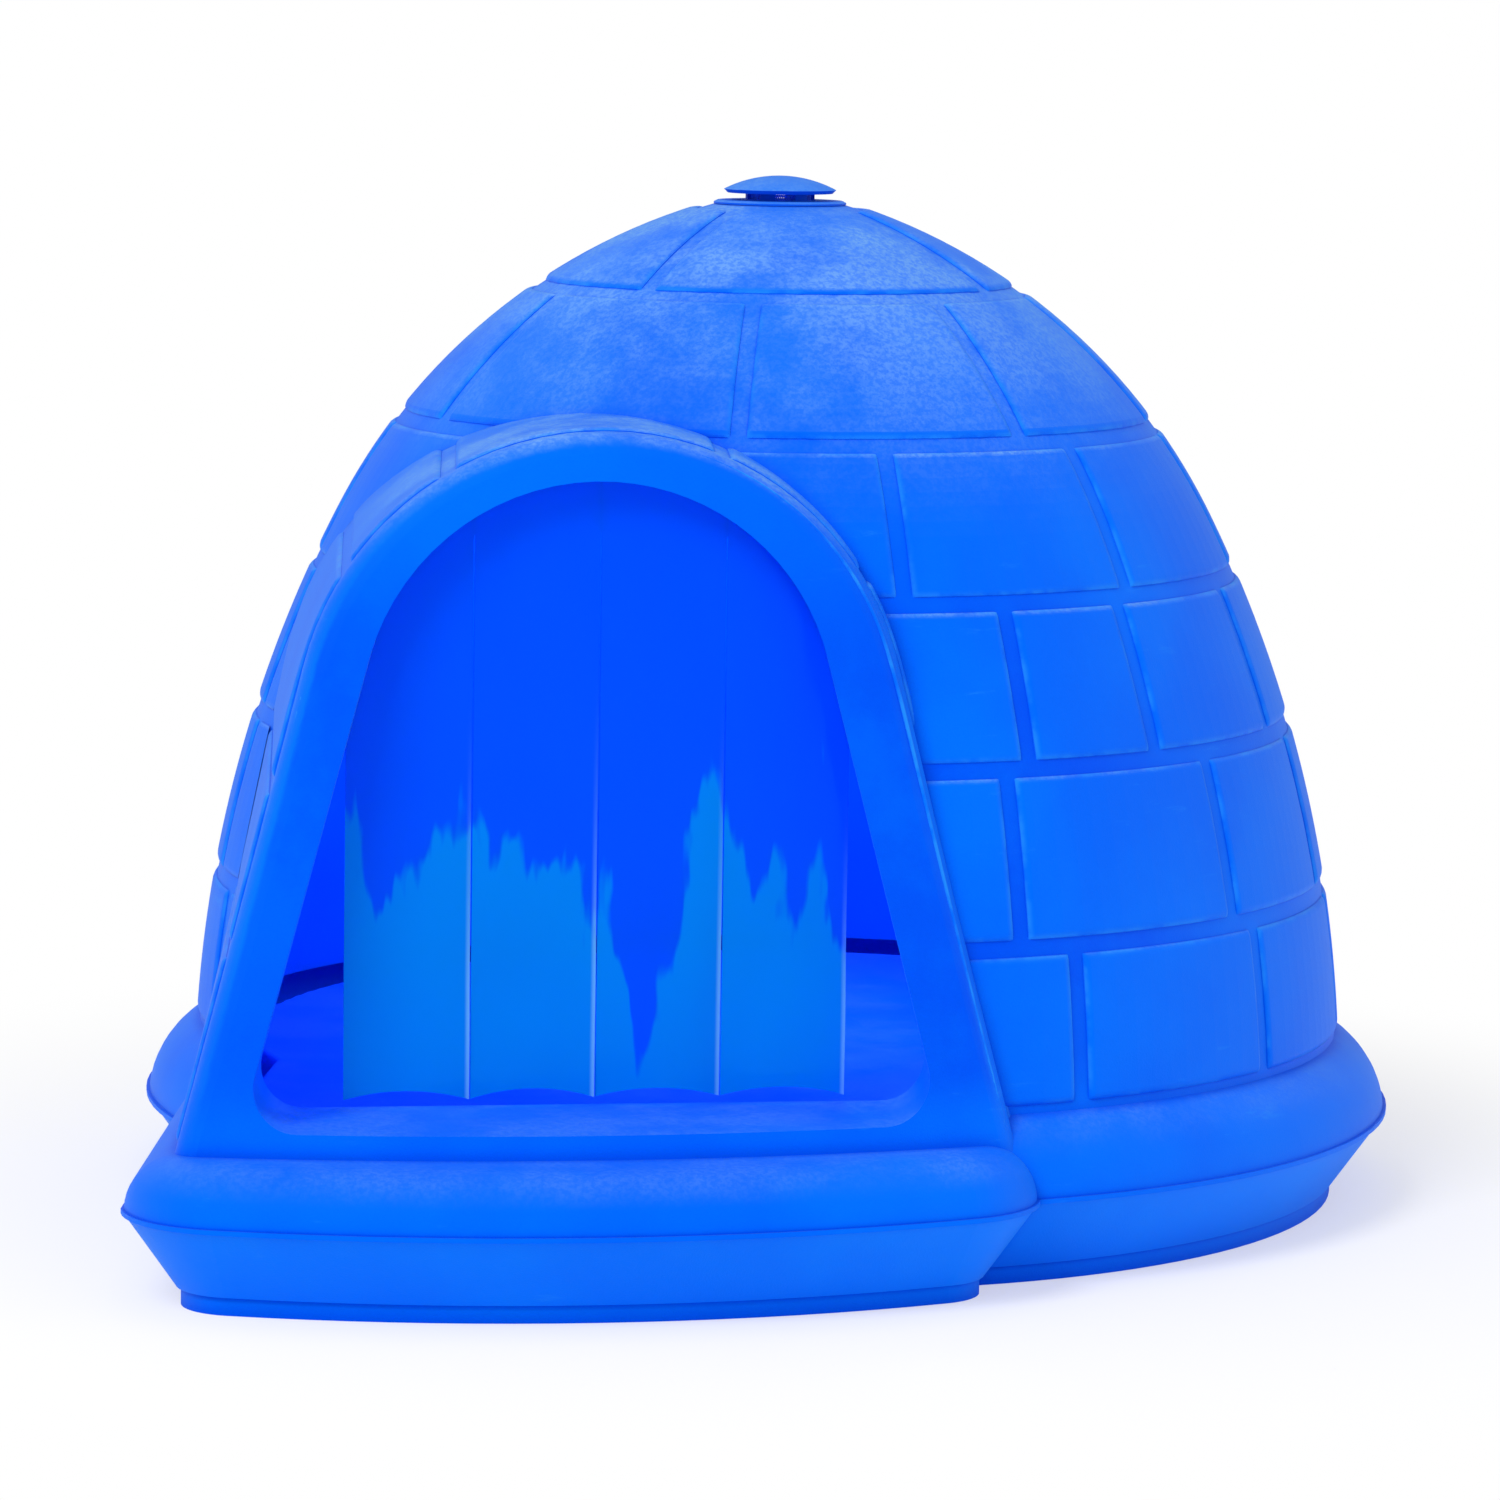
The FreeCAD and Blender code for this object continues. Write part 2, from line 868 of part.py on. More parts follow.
def middle_hinge_height():
    """Height where the middle strips bend, below the top corners of their share of the sheet."""
    radius, corner = header_radius(), size("strip_width") + size("slit") * 1.5
    top = door_arch_centre() + root(radius * radius - corner * corner)
    return top - size("middle_hinge_drop")


def rivet_places():
    """Rivet axes as (x, z), spread along the middle of the clamp."""
    radius = header_radius() - size("clamp_width") / 2
    count = round(size("rivet_count").value)
    spread = size("rivet_spread")
    places = []
    for i in range(count):
        angle = spread * (2.0 * i / (count - 1) - 1.0)
        places.append((DOOR_MIDDLE + radius * sine(angle), door_arch_centre() + radius * cosine(angle)))
    return places


def rivet_holes(name):
    radius = size("rivet_radius") + size("rivet_hole_gap")
    return [
        cylinder(
            f"{name}_{i}", radius, WALL * 6, x=x, y=WALL * 3 - size("door_plane"), z=z, turn=90,
            axis=(1, 0, 0),
        )
        for i, (x, z) in enumerate(rivet_places(), start=1)
    ]


def door_header():
    body = new_body("header_sheet")
    middle, half = DOOR_MIDDLE, sheet_half()
    inner = size("strip_width") + size("slit") * 1.5
    clearance = size("sheet_thickness") / 2 + size("hinge_gap")
    low = size("side_hinge_height") + clearance
    high = middle_hinge_height() + clearance
    radius = header_radius()
    shoulder = door_arch_centre() + root(radius * radius - half * half)
    pad(
        body,
        "header_pad",
        "XZ_Plane",
        [
            (middle - half, low),
            (middle - inner, low),
            (middle - inner, high),
            (middle + inner, high),
            (middle + inner, low),
            (middle + half, low),
            (middle + half, shoulder, radius, 1),
            (middle - half, shoulder),
        ],
        size("sheet_thickness"),
        size("door_plane"),
        reverse=True,
    )
    return cut("door_header", body, fuse("header_holes", *rivet_holes("header_hole")))


def door_clamp():
    body = new_body("clamp_strip")
    bottom = size("clamp_bottom")
    drop = bottom - door_arch_centre()
    outer = header_radius()
    inner = outer - size("clamp_width")
    wide = root(outer * outer - drop * drop)
    narrow = root(inner * inner - drop * drop)
    pad(
        body,
        "clamp_pad",
        "XZ_Plane",
        [
            (DOOR_MIDDLE + narrow, bottom),
            (DOOR_MIDDLE + wide, bottom, outer, 1),
            (DOOR_MIDDLE - wide, bottom),
            (DOOR_MIDDLE - narrow, bottom, inner, -1),
        ],
        size("clamp_thickness"),
        size("door_plane") - size("sheet_thickness"),
        reverse=True,
    )
    return cut("door_clamp", body, fuse("clamp_holes", *rivet_holes("clamp_hole")))


def door_strip(number):
    """One strip: a flat sheet whose top edge is a round along its hinge line."""
    name = f"door_strip_{number}"
    width, slit, thick = size("strip_width"), size("slit"), size("sheet_thickness")
    outer = number in (1, 4)
    top = size("side_hinge_height") if outer else middle_hinge_height()
    bottom = size("sill_height") + size("strip_gap")
    front = -size("door_plane")
    body = new_body(name)
    pad(
        body,
        name + "_pad",
        "YZ_Plane",
        [(front, bottom), (front + thick, bottom), (front + thick, top, None, 1), (front, top)],
        width,
        DOOR_MIDDLE - sheet_half() + (width + slit) * (number - 1),
    )
    return body


def door_rivets():
    """Rivets through land, sheet and clamp, with a domed head at each end."""
    body = new_body("rivet")
    grip = WALL + size("sheet_thickness") + size("clamp_thickness")
    shank, head = size("rivet_radius"), size("rivet_head_radius")
    rise = size("rivet_head_height")
    dome = (head * head + rise * rise) / (rise * 2)
    revolve(
        body,
        "rivet_turn",
        [
            (0, -rise, dome, 1),
            (head, 0),
            (shank, 0),
            (shank, grip),
            (head, grip, dome, 1),
            (0, grip + rise),
        ],
    )
    DOC.recompute()
    rivets = []
    front = -(size("door_plane") + WALL).value
    for x, z in rivet_places():
        rivet = body.Shape.copy()
        rivet.Placement = FreeCAD.Placement(
            FreeCAD.Vector(x.value, front, z.value),
            FreeCAD.Rotation(FreeCAD.Vector(1, 0, 0), -90),
        )
        rivets.append(rivet)
    return group("door_rivets", rivets)


# --- roof vent ---

COLLAR_TOP = LAND + size("collar_thickness")
TUBE_BOTTOM = LAND - WALL - size("bead_height") - size("tube_below")
RIM_BOTTOM = COLLAR_TOP + size("vent_gap")


def vent_collar():
    """Disc on the dome's flat crown, with a tube that snaps through the hole by its bead."""
    body = new_body("vent_collar")
    bore = size("stem_radius") + size("stem_fit")
    tube = size("vent_hole") - size("collar_fit")
    land = LAND
    bead_top = land - WALL - size("collar_fit")
    bead_low = bead_top - size("bead_height")
    revolve(
        body,
        "vent_collar_turn",
        [
            (bore, TUBE_BOTTOM),
            (tube, TUBE_BOTTOM),
            (tube, bead_low),
            (size("vent_hole") + size("collar_bead"), bead_top),
            (tube, bead_top),
            (tube, land),
            (size("collar_radius"), land),
            (size("collar_radius"), land + size("collar_thickness") / 2),
            (size("collar_radius") - size("collar_thickness"), COLLAR_TOP),
            (bore, COLLAR_TOP),
        ],
    )
    return body


def stem_bottom():
    return TUBE_BOTTOM - size("retainer_gap") - size("retainer_height") - size("stem_below")


def vent_cap():
    """Mushroom cap on a tubular stem with air windows under the rim."""
    body = new_body("vent_cap")
    stem, wall = size("stem_radius"), size("stem_wall")
    edge, rim = size("cap_edge"), size("cap_radius")
    crown = size("cap_crown")
    dome = (rim * rim + crown * crown) / (crown * 2)
    turned = revolve(
        body,
        "vent_cap_turn",
        [
            (stem - wall, stem_bottom()),
            (stem, stem_bottom()),
            (stem, RIM_BOTTOM),
            (rim - edge, RIM_BOTTOM),
            (rim, RIM_BOTTOM + edge, dome, 1),
            (0, RIM_BOTTOM + edge + crown),
            (0, RIM_BOTTOM + wall),
            (stem - wall, RIM_BOTTOM + wall),
        ],
    )
    half = size("window_width") / 2
    low = RIM_BOTTOM - size("window_height")
    window = pocket(
        body,
        "vent_window",
        "XZ_Plane",
        [(-half, low), (half, low), (half, RIM_BOTTOM), (-half, RIM_BOTTOM)],
        stem * 1.2,
    )
    DOC.recompute()
    if window.Shape.Volume >= turned.Shape.Volume:
        window.Reversed = True
    windows = body.newObject("PartDesign::PolarPattern", "vent_windows")
    windows.Originals = [window]
    windows.Axis = (DOC.getObject("vent_cap_turn_outline"), ["V_Axis"])
    windows.Angle = 360.0
    bind(windows, "Occurrences", size("window_count"))
    body.Tip = windows
    return body


def vent_retainer():
    """Ring snapped on the stem under the collar."""
    body = new_body("vent_retainer")
    top = TUBE_BOTTOM - size("retainer_gap")
    bottom = top - size("retainer_height")
    inner, outer = size("stem_radius"), size("stem_radius") + size("retainer_reach")
    revolve(
        body, "vent_retainer_turn", [(inner, bottom), (outer, bottom), (outer, top), (inner, top)]
    )
    return body


# --- fasteners that hold the shell on the pan ---

NUT_SEAT = SEAM + WALL + size("washer_height")


def at_bolts(name, body):
    """One copy of the fastener at every bolt place, turned to face the middle."""
    DOC.recompute()
    copies = []
    for x, y, direction in bolt_places():
        copy = body.Shape.copy()
        copy.Placement = FreeCAD.Placement(
            FreeCAD.Vector(x.value, y.value, 0),
            FreeCAD.Rotation(FreeCAD.Vector(0, 0, 1), direction.value),
        )
        copies.append(copy)
    return group(name, copies)


def shell_bolts():
    body = new_body("bolt")
    shank, head = size("bolt_radius"), size("bolt_head_radius")
    seat = SEAM - WALL
    low = seat - size("bolt_head_height")
    tip = NUT_SEAT + size("nut_height") + size("bolt_tip")
    chamfer = shank / 4
    revolve(
        body,
        "bolt_turn",
        [
            (0, low),
            (head - chamfer, low),
            (head, low + chamfer),
            (head, seat),
            (shank, seat),
            (shank, tip - chamfer),
            (shank - chamfer, tip),
            (0, tip),
        ],
    )
    return at_bolts("shell_bolts", body)


def nut_washers():
    body = new_body("washer")
    low = SEAM + WALL
    inner, outer = size("bolt_radius") + size("bolt_hole_gap"), size("washer_radius")
    revolve(body, "washer_turn", [(inner, low), (outer, low), (outer, NUT_SEAT), (inner, NUT_SEAT)])
    return at_bolts("nut_washers", body)


def wing_nuts():
    """Tapered hub with two wings that spread upwards, bored for the bolt."""
    body = new_body("wing_nut")
    hub, top = size("nut_radius"), NUT_SEAT + size("nut_height")
    neck = hub - size("wing_thickness") / 2
    revolve(body, "wing_nut_hub", [(0, NUT_SEAT), (hub, NUT_SEAT), (neck, top), (0, top)])
    half, wing_top = size("wing_span") / 2, NUT_SEAT + size("wing_height")
    middle_low = NUT_SEAT + size("nut_height") / 4
    pad(
        body,
        "wing_nut_wings",
        "YZ_Plane",
        [
            (-neck, middle_low),
            (neck, middle_low),
            (half, wing_top - size("wing_thickness") * 2),
            (half, wing_top),
            (half - size("wing_thickness") * 2, wing_top),
            (neck, top),
            (-neck, top),
            (-half + size("wing_thickness") * 2, wing_top),
            (-half, wing_top),
            (-half, wing_top - size("wing_thickness") * 2),
        ],
        size("wing_thickness"),
        middle=True,
    )
    bore = size("bolt_radius") + size("nut_fit")
    hole = cylinder("nut_bore", bore, size("wing_height") * 2, z=SEAM)
    nut = cut("wing_nut_bored", body, hole)
    return at_bolts("wing_nuts", nut)


# --- write the pieces ---

PIECES = [
    upper_shell(),
    base_pan(),
    door_header(),
    *[door_strip(number) for number in (1, 2, 3, 4)],
    door_clamp(),
    door_rivets(),
    vent_collar(),
    vent_cap(),
    vent_retainer(),
    shell_bolts(),
    nut_washers(),
    wing_nuts(),
]


def check_and_write():
    DOC.recompute()
    for item in DOC.Objects:
        if "Invalid" in item.State or "Error" in item.State:
            raise RuntimeError(f"{item.Label} failed: {item.State}")
    os.makedirs("parts", exist_ok=True)
    for piece in PIECES:
        shape = piece.Shape
        if shape.isNull() or not shape.isValid():
            raise RuntimeError(f"{piece.Label} has no valid shape")
        shape.exportStep(f"parts/{piece.Label}.step")
        box_of = shape.optimalBoundingBox()
        print(
            f"{piece.Label}: {len(shape.Solids)} solid(s), {shape.Volume / 1000:.1f} cm3, "
            f"x {box_of.XMin:.1f}..{box_of.XMax:.1f}, y {box_of.YMin:.1f}..{box_of.YMax:.1f}, "
            f"z {box_of.ZMin:.1f}..{box_of.ZMax:.1f}"
        )


check_and_write()
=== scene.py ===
# %% [markdown]
# # Dog house with a strip door, dressed round its CAD frame
# The CAD solids give every size and every joint: a domed shell on a pan, a doorway tunnel, a
# slit door sheet and a roof vent. This lesson adds what a camera sees on the real thing: the
# moulded block pattern, soft vinyl, chalky worn plastic with painted highlight and painted shade
# in its colour, light and a viewpoint.

import math

import bpy
from mathutils import Matrix, Vector


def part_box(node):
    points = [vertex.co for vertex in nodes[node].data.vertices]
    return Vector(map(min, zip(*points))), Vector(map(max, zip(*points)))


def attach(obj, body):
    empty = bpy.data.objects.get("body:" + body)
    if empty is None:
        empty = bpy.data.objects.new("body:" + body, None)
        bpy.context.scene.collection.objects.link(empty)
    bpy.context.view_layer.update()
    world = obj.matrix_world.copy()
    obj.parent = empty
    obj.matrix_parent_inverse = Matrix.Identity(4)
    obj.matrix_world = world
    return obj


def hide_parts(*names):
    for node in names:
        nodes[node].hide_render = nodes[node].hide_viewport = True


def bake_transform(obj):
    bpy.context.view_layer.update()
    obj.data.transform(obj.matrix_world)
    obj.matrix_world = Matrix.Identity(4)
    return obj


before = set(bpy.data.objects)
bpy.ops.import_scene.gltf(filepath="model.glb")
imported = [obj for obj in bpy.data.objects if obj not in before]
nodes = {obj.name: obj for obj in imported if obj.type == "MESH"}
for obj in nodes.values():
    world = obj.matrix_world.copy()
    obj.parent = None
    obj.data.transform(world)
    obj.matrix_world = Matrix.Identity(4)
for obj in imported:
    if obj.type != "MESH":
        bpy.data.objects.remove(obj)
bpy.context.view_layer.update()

# %% [markdown]
# ## Helpers for node trees
# Material trees and geometry trees are both built from the same two steps: add a node with its
# settings, and link or set its inputs. A few arithmetic helpers keep the formulas readable.

# %% Nodes, numbers and links
MM = 0.001


def feed(tree, socket, value):
    """Links a socket to an input, or sets the input to a plain value."""
    if isinstance(value, bpy.types.NodeSocket):
        tree.links.new(value, socket)
    elif value is not None:
        socket.default_value = value


def add_node(tree, kind, inputs=None, **settings):
    """One node: settings are its properties, inputs are keyed by socket name or number."""
    node = tree.nodes.new(kind)
    for name, value in settings.items():
        setattr(node, name, value)
    for key, value in (inputs or {}).items():
        feed(tree, node.inputs[key], value)
    return node


class Sums:
    """Arithmetic on the fields of one tree."""

    def __init__(self, tree):
        self.tree = tree

    def of(self, operation, a, b=None):
        node = add_node(self.tree, "ShaderNodeMath", operation=operation)
        for socket, value in zip(node.inputs, (a, b)):
            feed(self.tree, socket, value)
        return node.outputs[0]

    def add(self, a, b):
        return self.of("ADD", a, b)

    def less(self, a, b):
        return self.of("SUBTRACT", a, b)

    def times(self, a, b):
        return self.of("MULTIPLY", a, b)

    def over(self, a, b):
        return self.of("DIVIDE", a, b)

    def mix(self, share, a, b):
        """a where share is 0, b where it is 1."""
        return self.add(a, self.times(share, self.less(b, a)))


# %% Trees for pieces
def piece_tree(name, sizes, objects=()):
    """A geometry tree with named inputs for its sizes, the objects it uses and its material."""
    tree = bpy.data.node_groups.new(name, "GeometryNodeTree")
    face = tree.interface
    face.new_socket("Geometry", in_out="INPUT", socket_type="NodeSocketGeometry")
    face.new_socket("Geometry", in_out="OUTPUT", socket_type="NodeSocketGeometry")
    for label in sizes:
        face.new_socket(label, in_out="INPUT", socket_type="NodeSocketFloat")
    for label in objects:
        face.new_socket(label, in_out="INPUT", socket_type="NodeSocketObject")
    face.new_socket("Material", in_out="INPUT", socket_type="NodeSocketMaterial")
    return tree, add_node(tree, "NodeGroupInput")


def end_tree(tree, given, geometry, sharp=35.0):
    """Smooth faces with sharp edges kept, then real geometry with its material."""
    angle = add_node(tree, "GeometryNodeInputMeshEdgeAngle")
    flat = Sums(tree).of("LESS_THAN", angle.outputs["Unsigned Angle"], math.radians(sharp))
    edges = add_node(
        tree, "GeometryNodeSetShadeSmooth", {"Geometry": geometry, "Shade Smooth": flat},
        domain="EDGE",
    )
    real = add_node(tree, "GeometryNodeRealizeInstances", {"Geometry": edges.outputs[0]})
    dressed = add_node(
        tree, "GeometryNodeSetMaterial",
        {"Geometry": real.outputs[0], "Material": given.outputs["Material"]},
    )
    add_node(tree, "NodeGroupOutput", {0: dressed.outputs[0]})


def grow(name, tree, start_mesh, values):
    """Runs a tree on a start mesh and returns the result as a plain mesh object."""
    seed = bpy.data.objects.new(name + "_start", start_mesh)
    bpy.context.scene.collection.objects.link(seed)
    modifier = seed.modifiers.new("shape", "NODES")
    modifier.node_group = tree
    for item in tree.interface.items_tree:
        if item.in_out == "INPUT" and item.name in values:
            modifier[item.identifier] = values[item.name]
    depsgraph = bpy.context.evaluated_depsgraph_get()
    mesh = bpy.data.meshes.new_from_object(seed.evaluated_get(depsgraph))
    bpy.data.objects.remove(seed)
    piece = bpy.data.objects.new(name, mesh)
    bpy.context.scene.collection.objects.link(piece)
    mesh.name = name
    triangles = sum(len(p.vertices) - 2 for p in mesh.polygons)
    print(f"{name}: {len(mesh.vertices)} points, {triangles} triangles")
    return piece


def point_mesh(name, rows):
    """One point per row of {attribute: number}, for a tree to place its pieces on."""
    mesh = bpy.data.meshes.new(name)
    mesh.from_pydata([(0, 0, 0)] * len(rows), [], [])
    for key in rows[0]:
        column = mesh.attributes.new(key, "FLOAT", "POINT")
        column.data.foreach_set("value", [row[key] for row in rows])
    return mesh


# %% [markdown]
# ## Colours
# Colours are written as sRGB hex, the way they are picked, and turned into the linear values
# that a renderer works with.

# %% Colour from hex
def colour(code):
    parts = [int(code[i : i + 2], 16) / 255 for i in (1, 3, 5)]
    linear = [p / 12.92 if p <= 0.04045 else ((p + 0.055) / 1.055) ** 2.4 for p in parts]
    return (*linear, 1.0)


# %% Start of a material
def new_material(name):
    """An empty Principled material, its tree and its shader node."""
    material = bpy.data.materials.new(name)
    material.use_nodes = True
    tree = material.node_tree
    return material, tree, tree.nodes["Principled BSDF"]


def noise(tree, scale, detail=3.0, roughness=0.55, stretch=(1, 1, 1), vector=None):
    """Noise in the object's own metres: scale is the number of features in a metre."""
    place = vector or add_node(tree, "ShaderNodeTexCoord").outputs["Object"]
    turned = add_node(tree, "ShaderNodeMapping", {"Vector": place, "Scale": stretch})
    field = add_node(
        tree, "ShaderNodeTexNoise",
        {"Vector": turned.outputs[0], "Scale": scale, "Detail": detail, "Roughness": roughness},
    )
    return field.outputs["Fac"]


def between(tree, value, low, high, start=0.0, end=1.0):
    """Brings the range low..high of a field to start..end, with soft ends."""
    node = add_node(
        tree, "ShaderNodeMapRange",
        {"Value": value, "From Min": low, "From Max": high, "To Min": start, "To Max": end},
        interpolation_type="SMOOTHSTEP",
    )
    return node.outputs[0]


def blend_colours(tree, share, first, second):
    node = add_node(tree, "ShaderNodeMix", data_type="RGBA")
    feed(tree, node.inputs["Factor"], share)
    feed(tree, node.inputs[6], first)
    feed(tree, node.inputs[7], second)
    return node.outputs[2]


def bumped(tree, shader, height, distance, strength=1.0):
    node = add_node(
        tree, "ShaderNodeBump", {"Height": height, "Distance": distance, "Strength": strength}
    )
    tree.links.new(node.outputs[0], shader.inputs["Normal"])


# %% [markdown]
# ## Rotomoulded polyethylene
# The shell and pan are moulded in one colour all the way through, though the pan is given a
# lighter blue here as painted light. Faces that look up get a pale chalky bloom, partly real
# weathering and partly a painted highlight, the mould leaves a fine pebbled grain, and rubbed
# block edges turn pale, with a painted highlight on their shoulders. Grooves and the front of
# the doorway's face are darkened with painted shade. The plastic is satin at best, so
# reflections are weak and broad. Its dust adds a faint pale sheen.

# %% Moulded plastic
BODY_BLUE = "#006CF8"
DEEP_BLUE = "#0062F4"
# deep blue for the painted shade in grooves and seams
GROOVE_SHADE_BLUE = "#0046DC"
GLOSS_BLUE = "#2A8CFF"
# pale blue of the chalky bloom, which also serves as a painted highlight on faces that look up
CHALK_AND_HIGHLIGHT_BLUE = "#7CB0EC"
SHEEN_BLUE = "#3CB4FF"
# deeper blue painted on the front of the doorway's face as shade
FACE_SHADE_BLUE = "#004AEC"
# pale blue of rub marks and of the painted highlight on rim shoulders and the ridge
WORN_AND_HIGHLIGHT_BLUE = "#2E9CF8"


def moulded_plastic(name, main, deep, chalk_and_highlight_amount=0.8, face_shade_amount=0.0):
    material, tree, shader = new_material(name)
    sums = Sums(tree)
    clouds = between(tree, noise(tree, 5.0, 4.0), 0.35, 0.65)
    body = blend_colours(tree, clouds, colour(deep), colour(main))
    # rub marks run in all directions: two stretched noises, one along and one up
    rub = sums.times(
        between(tree, noise(tree, 60.0, 6.0, 0.7, (0.25, 0.25, 1.6)), 0.60, 0.72),
        between(tree, noise(tree, 9.0, 2.0), 0.42, 0.62),
    )
    body = blend_colours(tree, sums.times(rub, 0.22), body, colour(WORN_AND_HIGHLIGHT_BLUE))
    # chalky bloom and painted highlight: paler where the face looks up and higher on the house,
    # broken by grain
    surface = add_node(tree, "ShaderNodeNewGeometry")
    upward = add_node(tree, "ShaderNodeSeparateXYZ", {0: surface.outputs["Normal"]})
    facing = between(tree, upward.outputs["Z"], 0.45, 0.97)
    stand = add_node(tree, "ShaderNodeSeparateXYZ")
    tree.links.new(add_node(tree, "ShaderNodeTexCoord").outputs["Object"], stand.inputs[0])
    # painted highlight grows with height, as the tops catch more light
    higher_up = between(tree, stand.outputs["Z"], 0.08, 0.40, 0.25, 1.0)
    grain = noise(tree, 900.0, 2.0, 0.6)
    specks = between(tree, noise(tree, 280.0, 3.0, 0.7), 0.38, 0.62, 0.45, 1.0)
    patches = between(tree, noise(tree, 11.0, 6.0, 0.65), 0.36, 0.62, 0.2, 1.0)
    chalk_and_highlight = sums.times(sums.times(facing, higher_up), sums.times(patches, specks))
    body = blend_colours(tree, sums.times(chalk_and_highlight, chalk_and_highlight_amount), body, colour(CHALK_AND_HIGHLIGHT_BLUE))
    # painted shade: the doorway's face, where it looks forward, is painted a deeper blue
    forward = between(tree, sums.times(upward.outputs["Y"], -1.0), 0.70, 0.86)
    front = between(tree, sums.times(stand.outputs["Y"], -1.0), 0.26, 0.30)
    foot = between(tree, stand.outputs["Z"], 0.11, 0.15)
    top = between(tree, stand.outputs["Z"], 0.38, 0.52, 1.0, 0.15)
    painted_face_shade = sums.times(sums.times(forward, front), sums.times(foot, top))
    painted_face_shade = sums.times(painted_face_shade, sums.mix(patches, face_shade_amount, face_shade_amount * 0.6))
    body = blend_colours(tree, painted_face_shade, body, colour(FACE_SHADE_BLUE))
    # pale block edges, partly rubbed wear and partly a painted highlight on the rim's shoulder,
    # where a piece carries that mark
    worn = add_node(tree, "ShaderNodeAttribute", attribute_name="worn").outputs["Fac"]
    edge = sums.times(worn, between(tree, noise(tree, 40.0, 4.0), 0.40, 0.62, 0.1, 1.0))
    body = blend_colours(tree, sums.times(edge, 0.55), body, colour(WORN_AND_HIGHLIGHT_BLUE))
    # painted shade: grooves and seams are darkened where ambient occlusion finds them closed in
    nook = add_node(tree, "ShaderNodeAmbientOcclusion", {"Distance": 12 * MM}, samples=6)
    groove_shade = between(tree, nook.outputs["AO"], 0.62, 0.98, 1.0, 0.0)
    body = blend_colours(tree, sums.times(groove_shade, 0.75), body, colour(GROOVE_SHADE_BLUE))
    tree.links.new(body, shader.inputs["Base Color"])
    tree.links.new(sums.add(0.50, sums.times(chalk_and_highlight, 0.3)), shader.inputs["Roughness"])
    shader.inputs["IOR"].default_value = 1.51
    shader.inputs["Specular IOR Level"].default_value = 0.17
    shader.inputs["Specular Tint"].default_value = colour(GLOSS_BLUE)
    shader.inputs["Sheen Weight"].default_value = 0.16
    shader.inputs["Sheen Roughness"].default_value = 0.45
    shader.inputs["Sheen Tint"].default_value = colour(SHEEN_BLUE)
    bumped(tree, shader, sums.add(grain, sums.times(noise(tree, 25.0, 3.0), 2.0)), 0.35 * MM, 0.5)
    return material


shell_plastic = moulded_plastic("rotomoulded polyethylene, shell", BODY_BLUE, DEEP_BLUE)
# the upper shell carries painted shade on the front of its doorway face
face_plastic = moulded_plastic(
    "rotomoulded polyethylene, doorway face", BODY_BLUE, DEEP_BLUE, face_shade_amount=0.9
)
# the pan gets a lighter blue than the shell: painted light for its skirt, which faces down into
# shade
pan_plastic = moulded_plastic("rotomoulded polyethylene, pan", "#007CFC", "#0072FA", 0.6)
vent_plastic = moulded_plastic("injection moulded polypropylene, vent", "#1A72EE", "#1268EC", 0.5)

# %% [markdown]
# ## Clear vinyl
# The door sheet is soft clear PVC. It takes its blue from the house round it, and that blue is
# painted into the sheet's colour as painted light; it is hazy where it has been rubbed and
# licked, clearer near the top, and it is the only glossy thing here.

# %% Vinyl sheet
HAZE_BLUE = "#0088EE"
DEEP_VINYL = "#0058FA"
CUT_BLUE = "#7CC6FA"


def clear_vinyl():
    material, tree, shader = new_material("clear flexible vinyl, hazed")
    sums = Sums(tree)
    place = add_node(tree, "ShaderNodeTexCoord").outputs["Object"]
    split = add_node(tree, "ShaderNodeSeparateXYZ", {0: place})
    wander = sums.less(noise(tree, 9.0, 4.0, 0.6, (1.9, 1.0, 0.35), place), 0.5)
    height = sums.add(split.outputs["Z"], sums.times(wander, 0.75))
    low = between(tree, height, 0.235, 0.265, 1.0, 0.0)
    # painted light: the blue of the sheet's colour stands for the house round it, paler low down
    # where the sheet is hazed
    tint = blend_colours(tree, low, colour(DEEP_VINYL), colour(HAZE_BLUE))
    # a cut edge leads light along the sheet, so it shows as a pale line that fades upwards
    share = add_node(tree, "ShaderNodeAttribute", attribute_name="share").outputs["Vector"]
    part = add_node(tree, "ShaderNodeSeparateXYZ", {0: share})
    fade = between(tree, part.outputs["Y"], 0.1, 0.75, 1.0, 0.0)
    cut = sums.times(between(tree, part.outputs["X"], 0.955, 0.99), sums.times(fade, fade))
    tint = blend_colours(tree, sums.times(cut, 0.75), tint, colour(CUT_BLUE))
    tree.links.new(tint, shader.inputs["Base Color"])
    clear = sums.mix(low, 0.36, 0.20)
    tree.links.new(clear, shader.inputs["Transmission Weight"])
    smears = noise(tree, 30.0, 4.0, 0.6, (1.0, 1.0, 0.25), place)
    tree.links.new(between(tree, smears, 0.3, 0.7, 0.06, 0.22), shader.inputs["Roughness"])
    shader.inputs["IOR"].default_value = 1.53
    shader.inputs["Specular IOR Level"].default_value = 0.45
    shader.inputs["Specular Tint"].default_value = colour("#2A96FF")
    ripple = noise(tree, 14.0, 2.0, 0.4, (1.8, 1.0, 0.5), place)
    bumped(tree, shader, ripple, 4.0 * MM, 0.6)
    return material


vinyl = clear_vinyl()

# %% [markdown]
# ## Metal and nylon
# Rivets are plain aluminium, the bolts and washers are zinc plated, and what holds them from
# the inside is black nylon. The gauze in the vent is blue nylon. All of it is small, so one
# grain noise on colour and roughness is enough to keep it from looking flat.


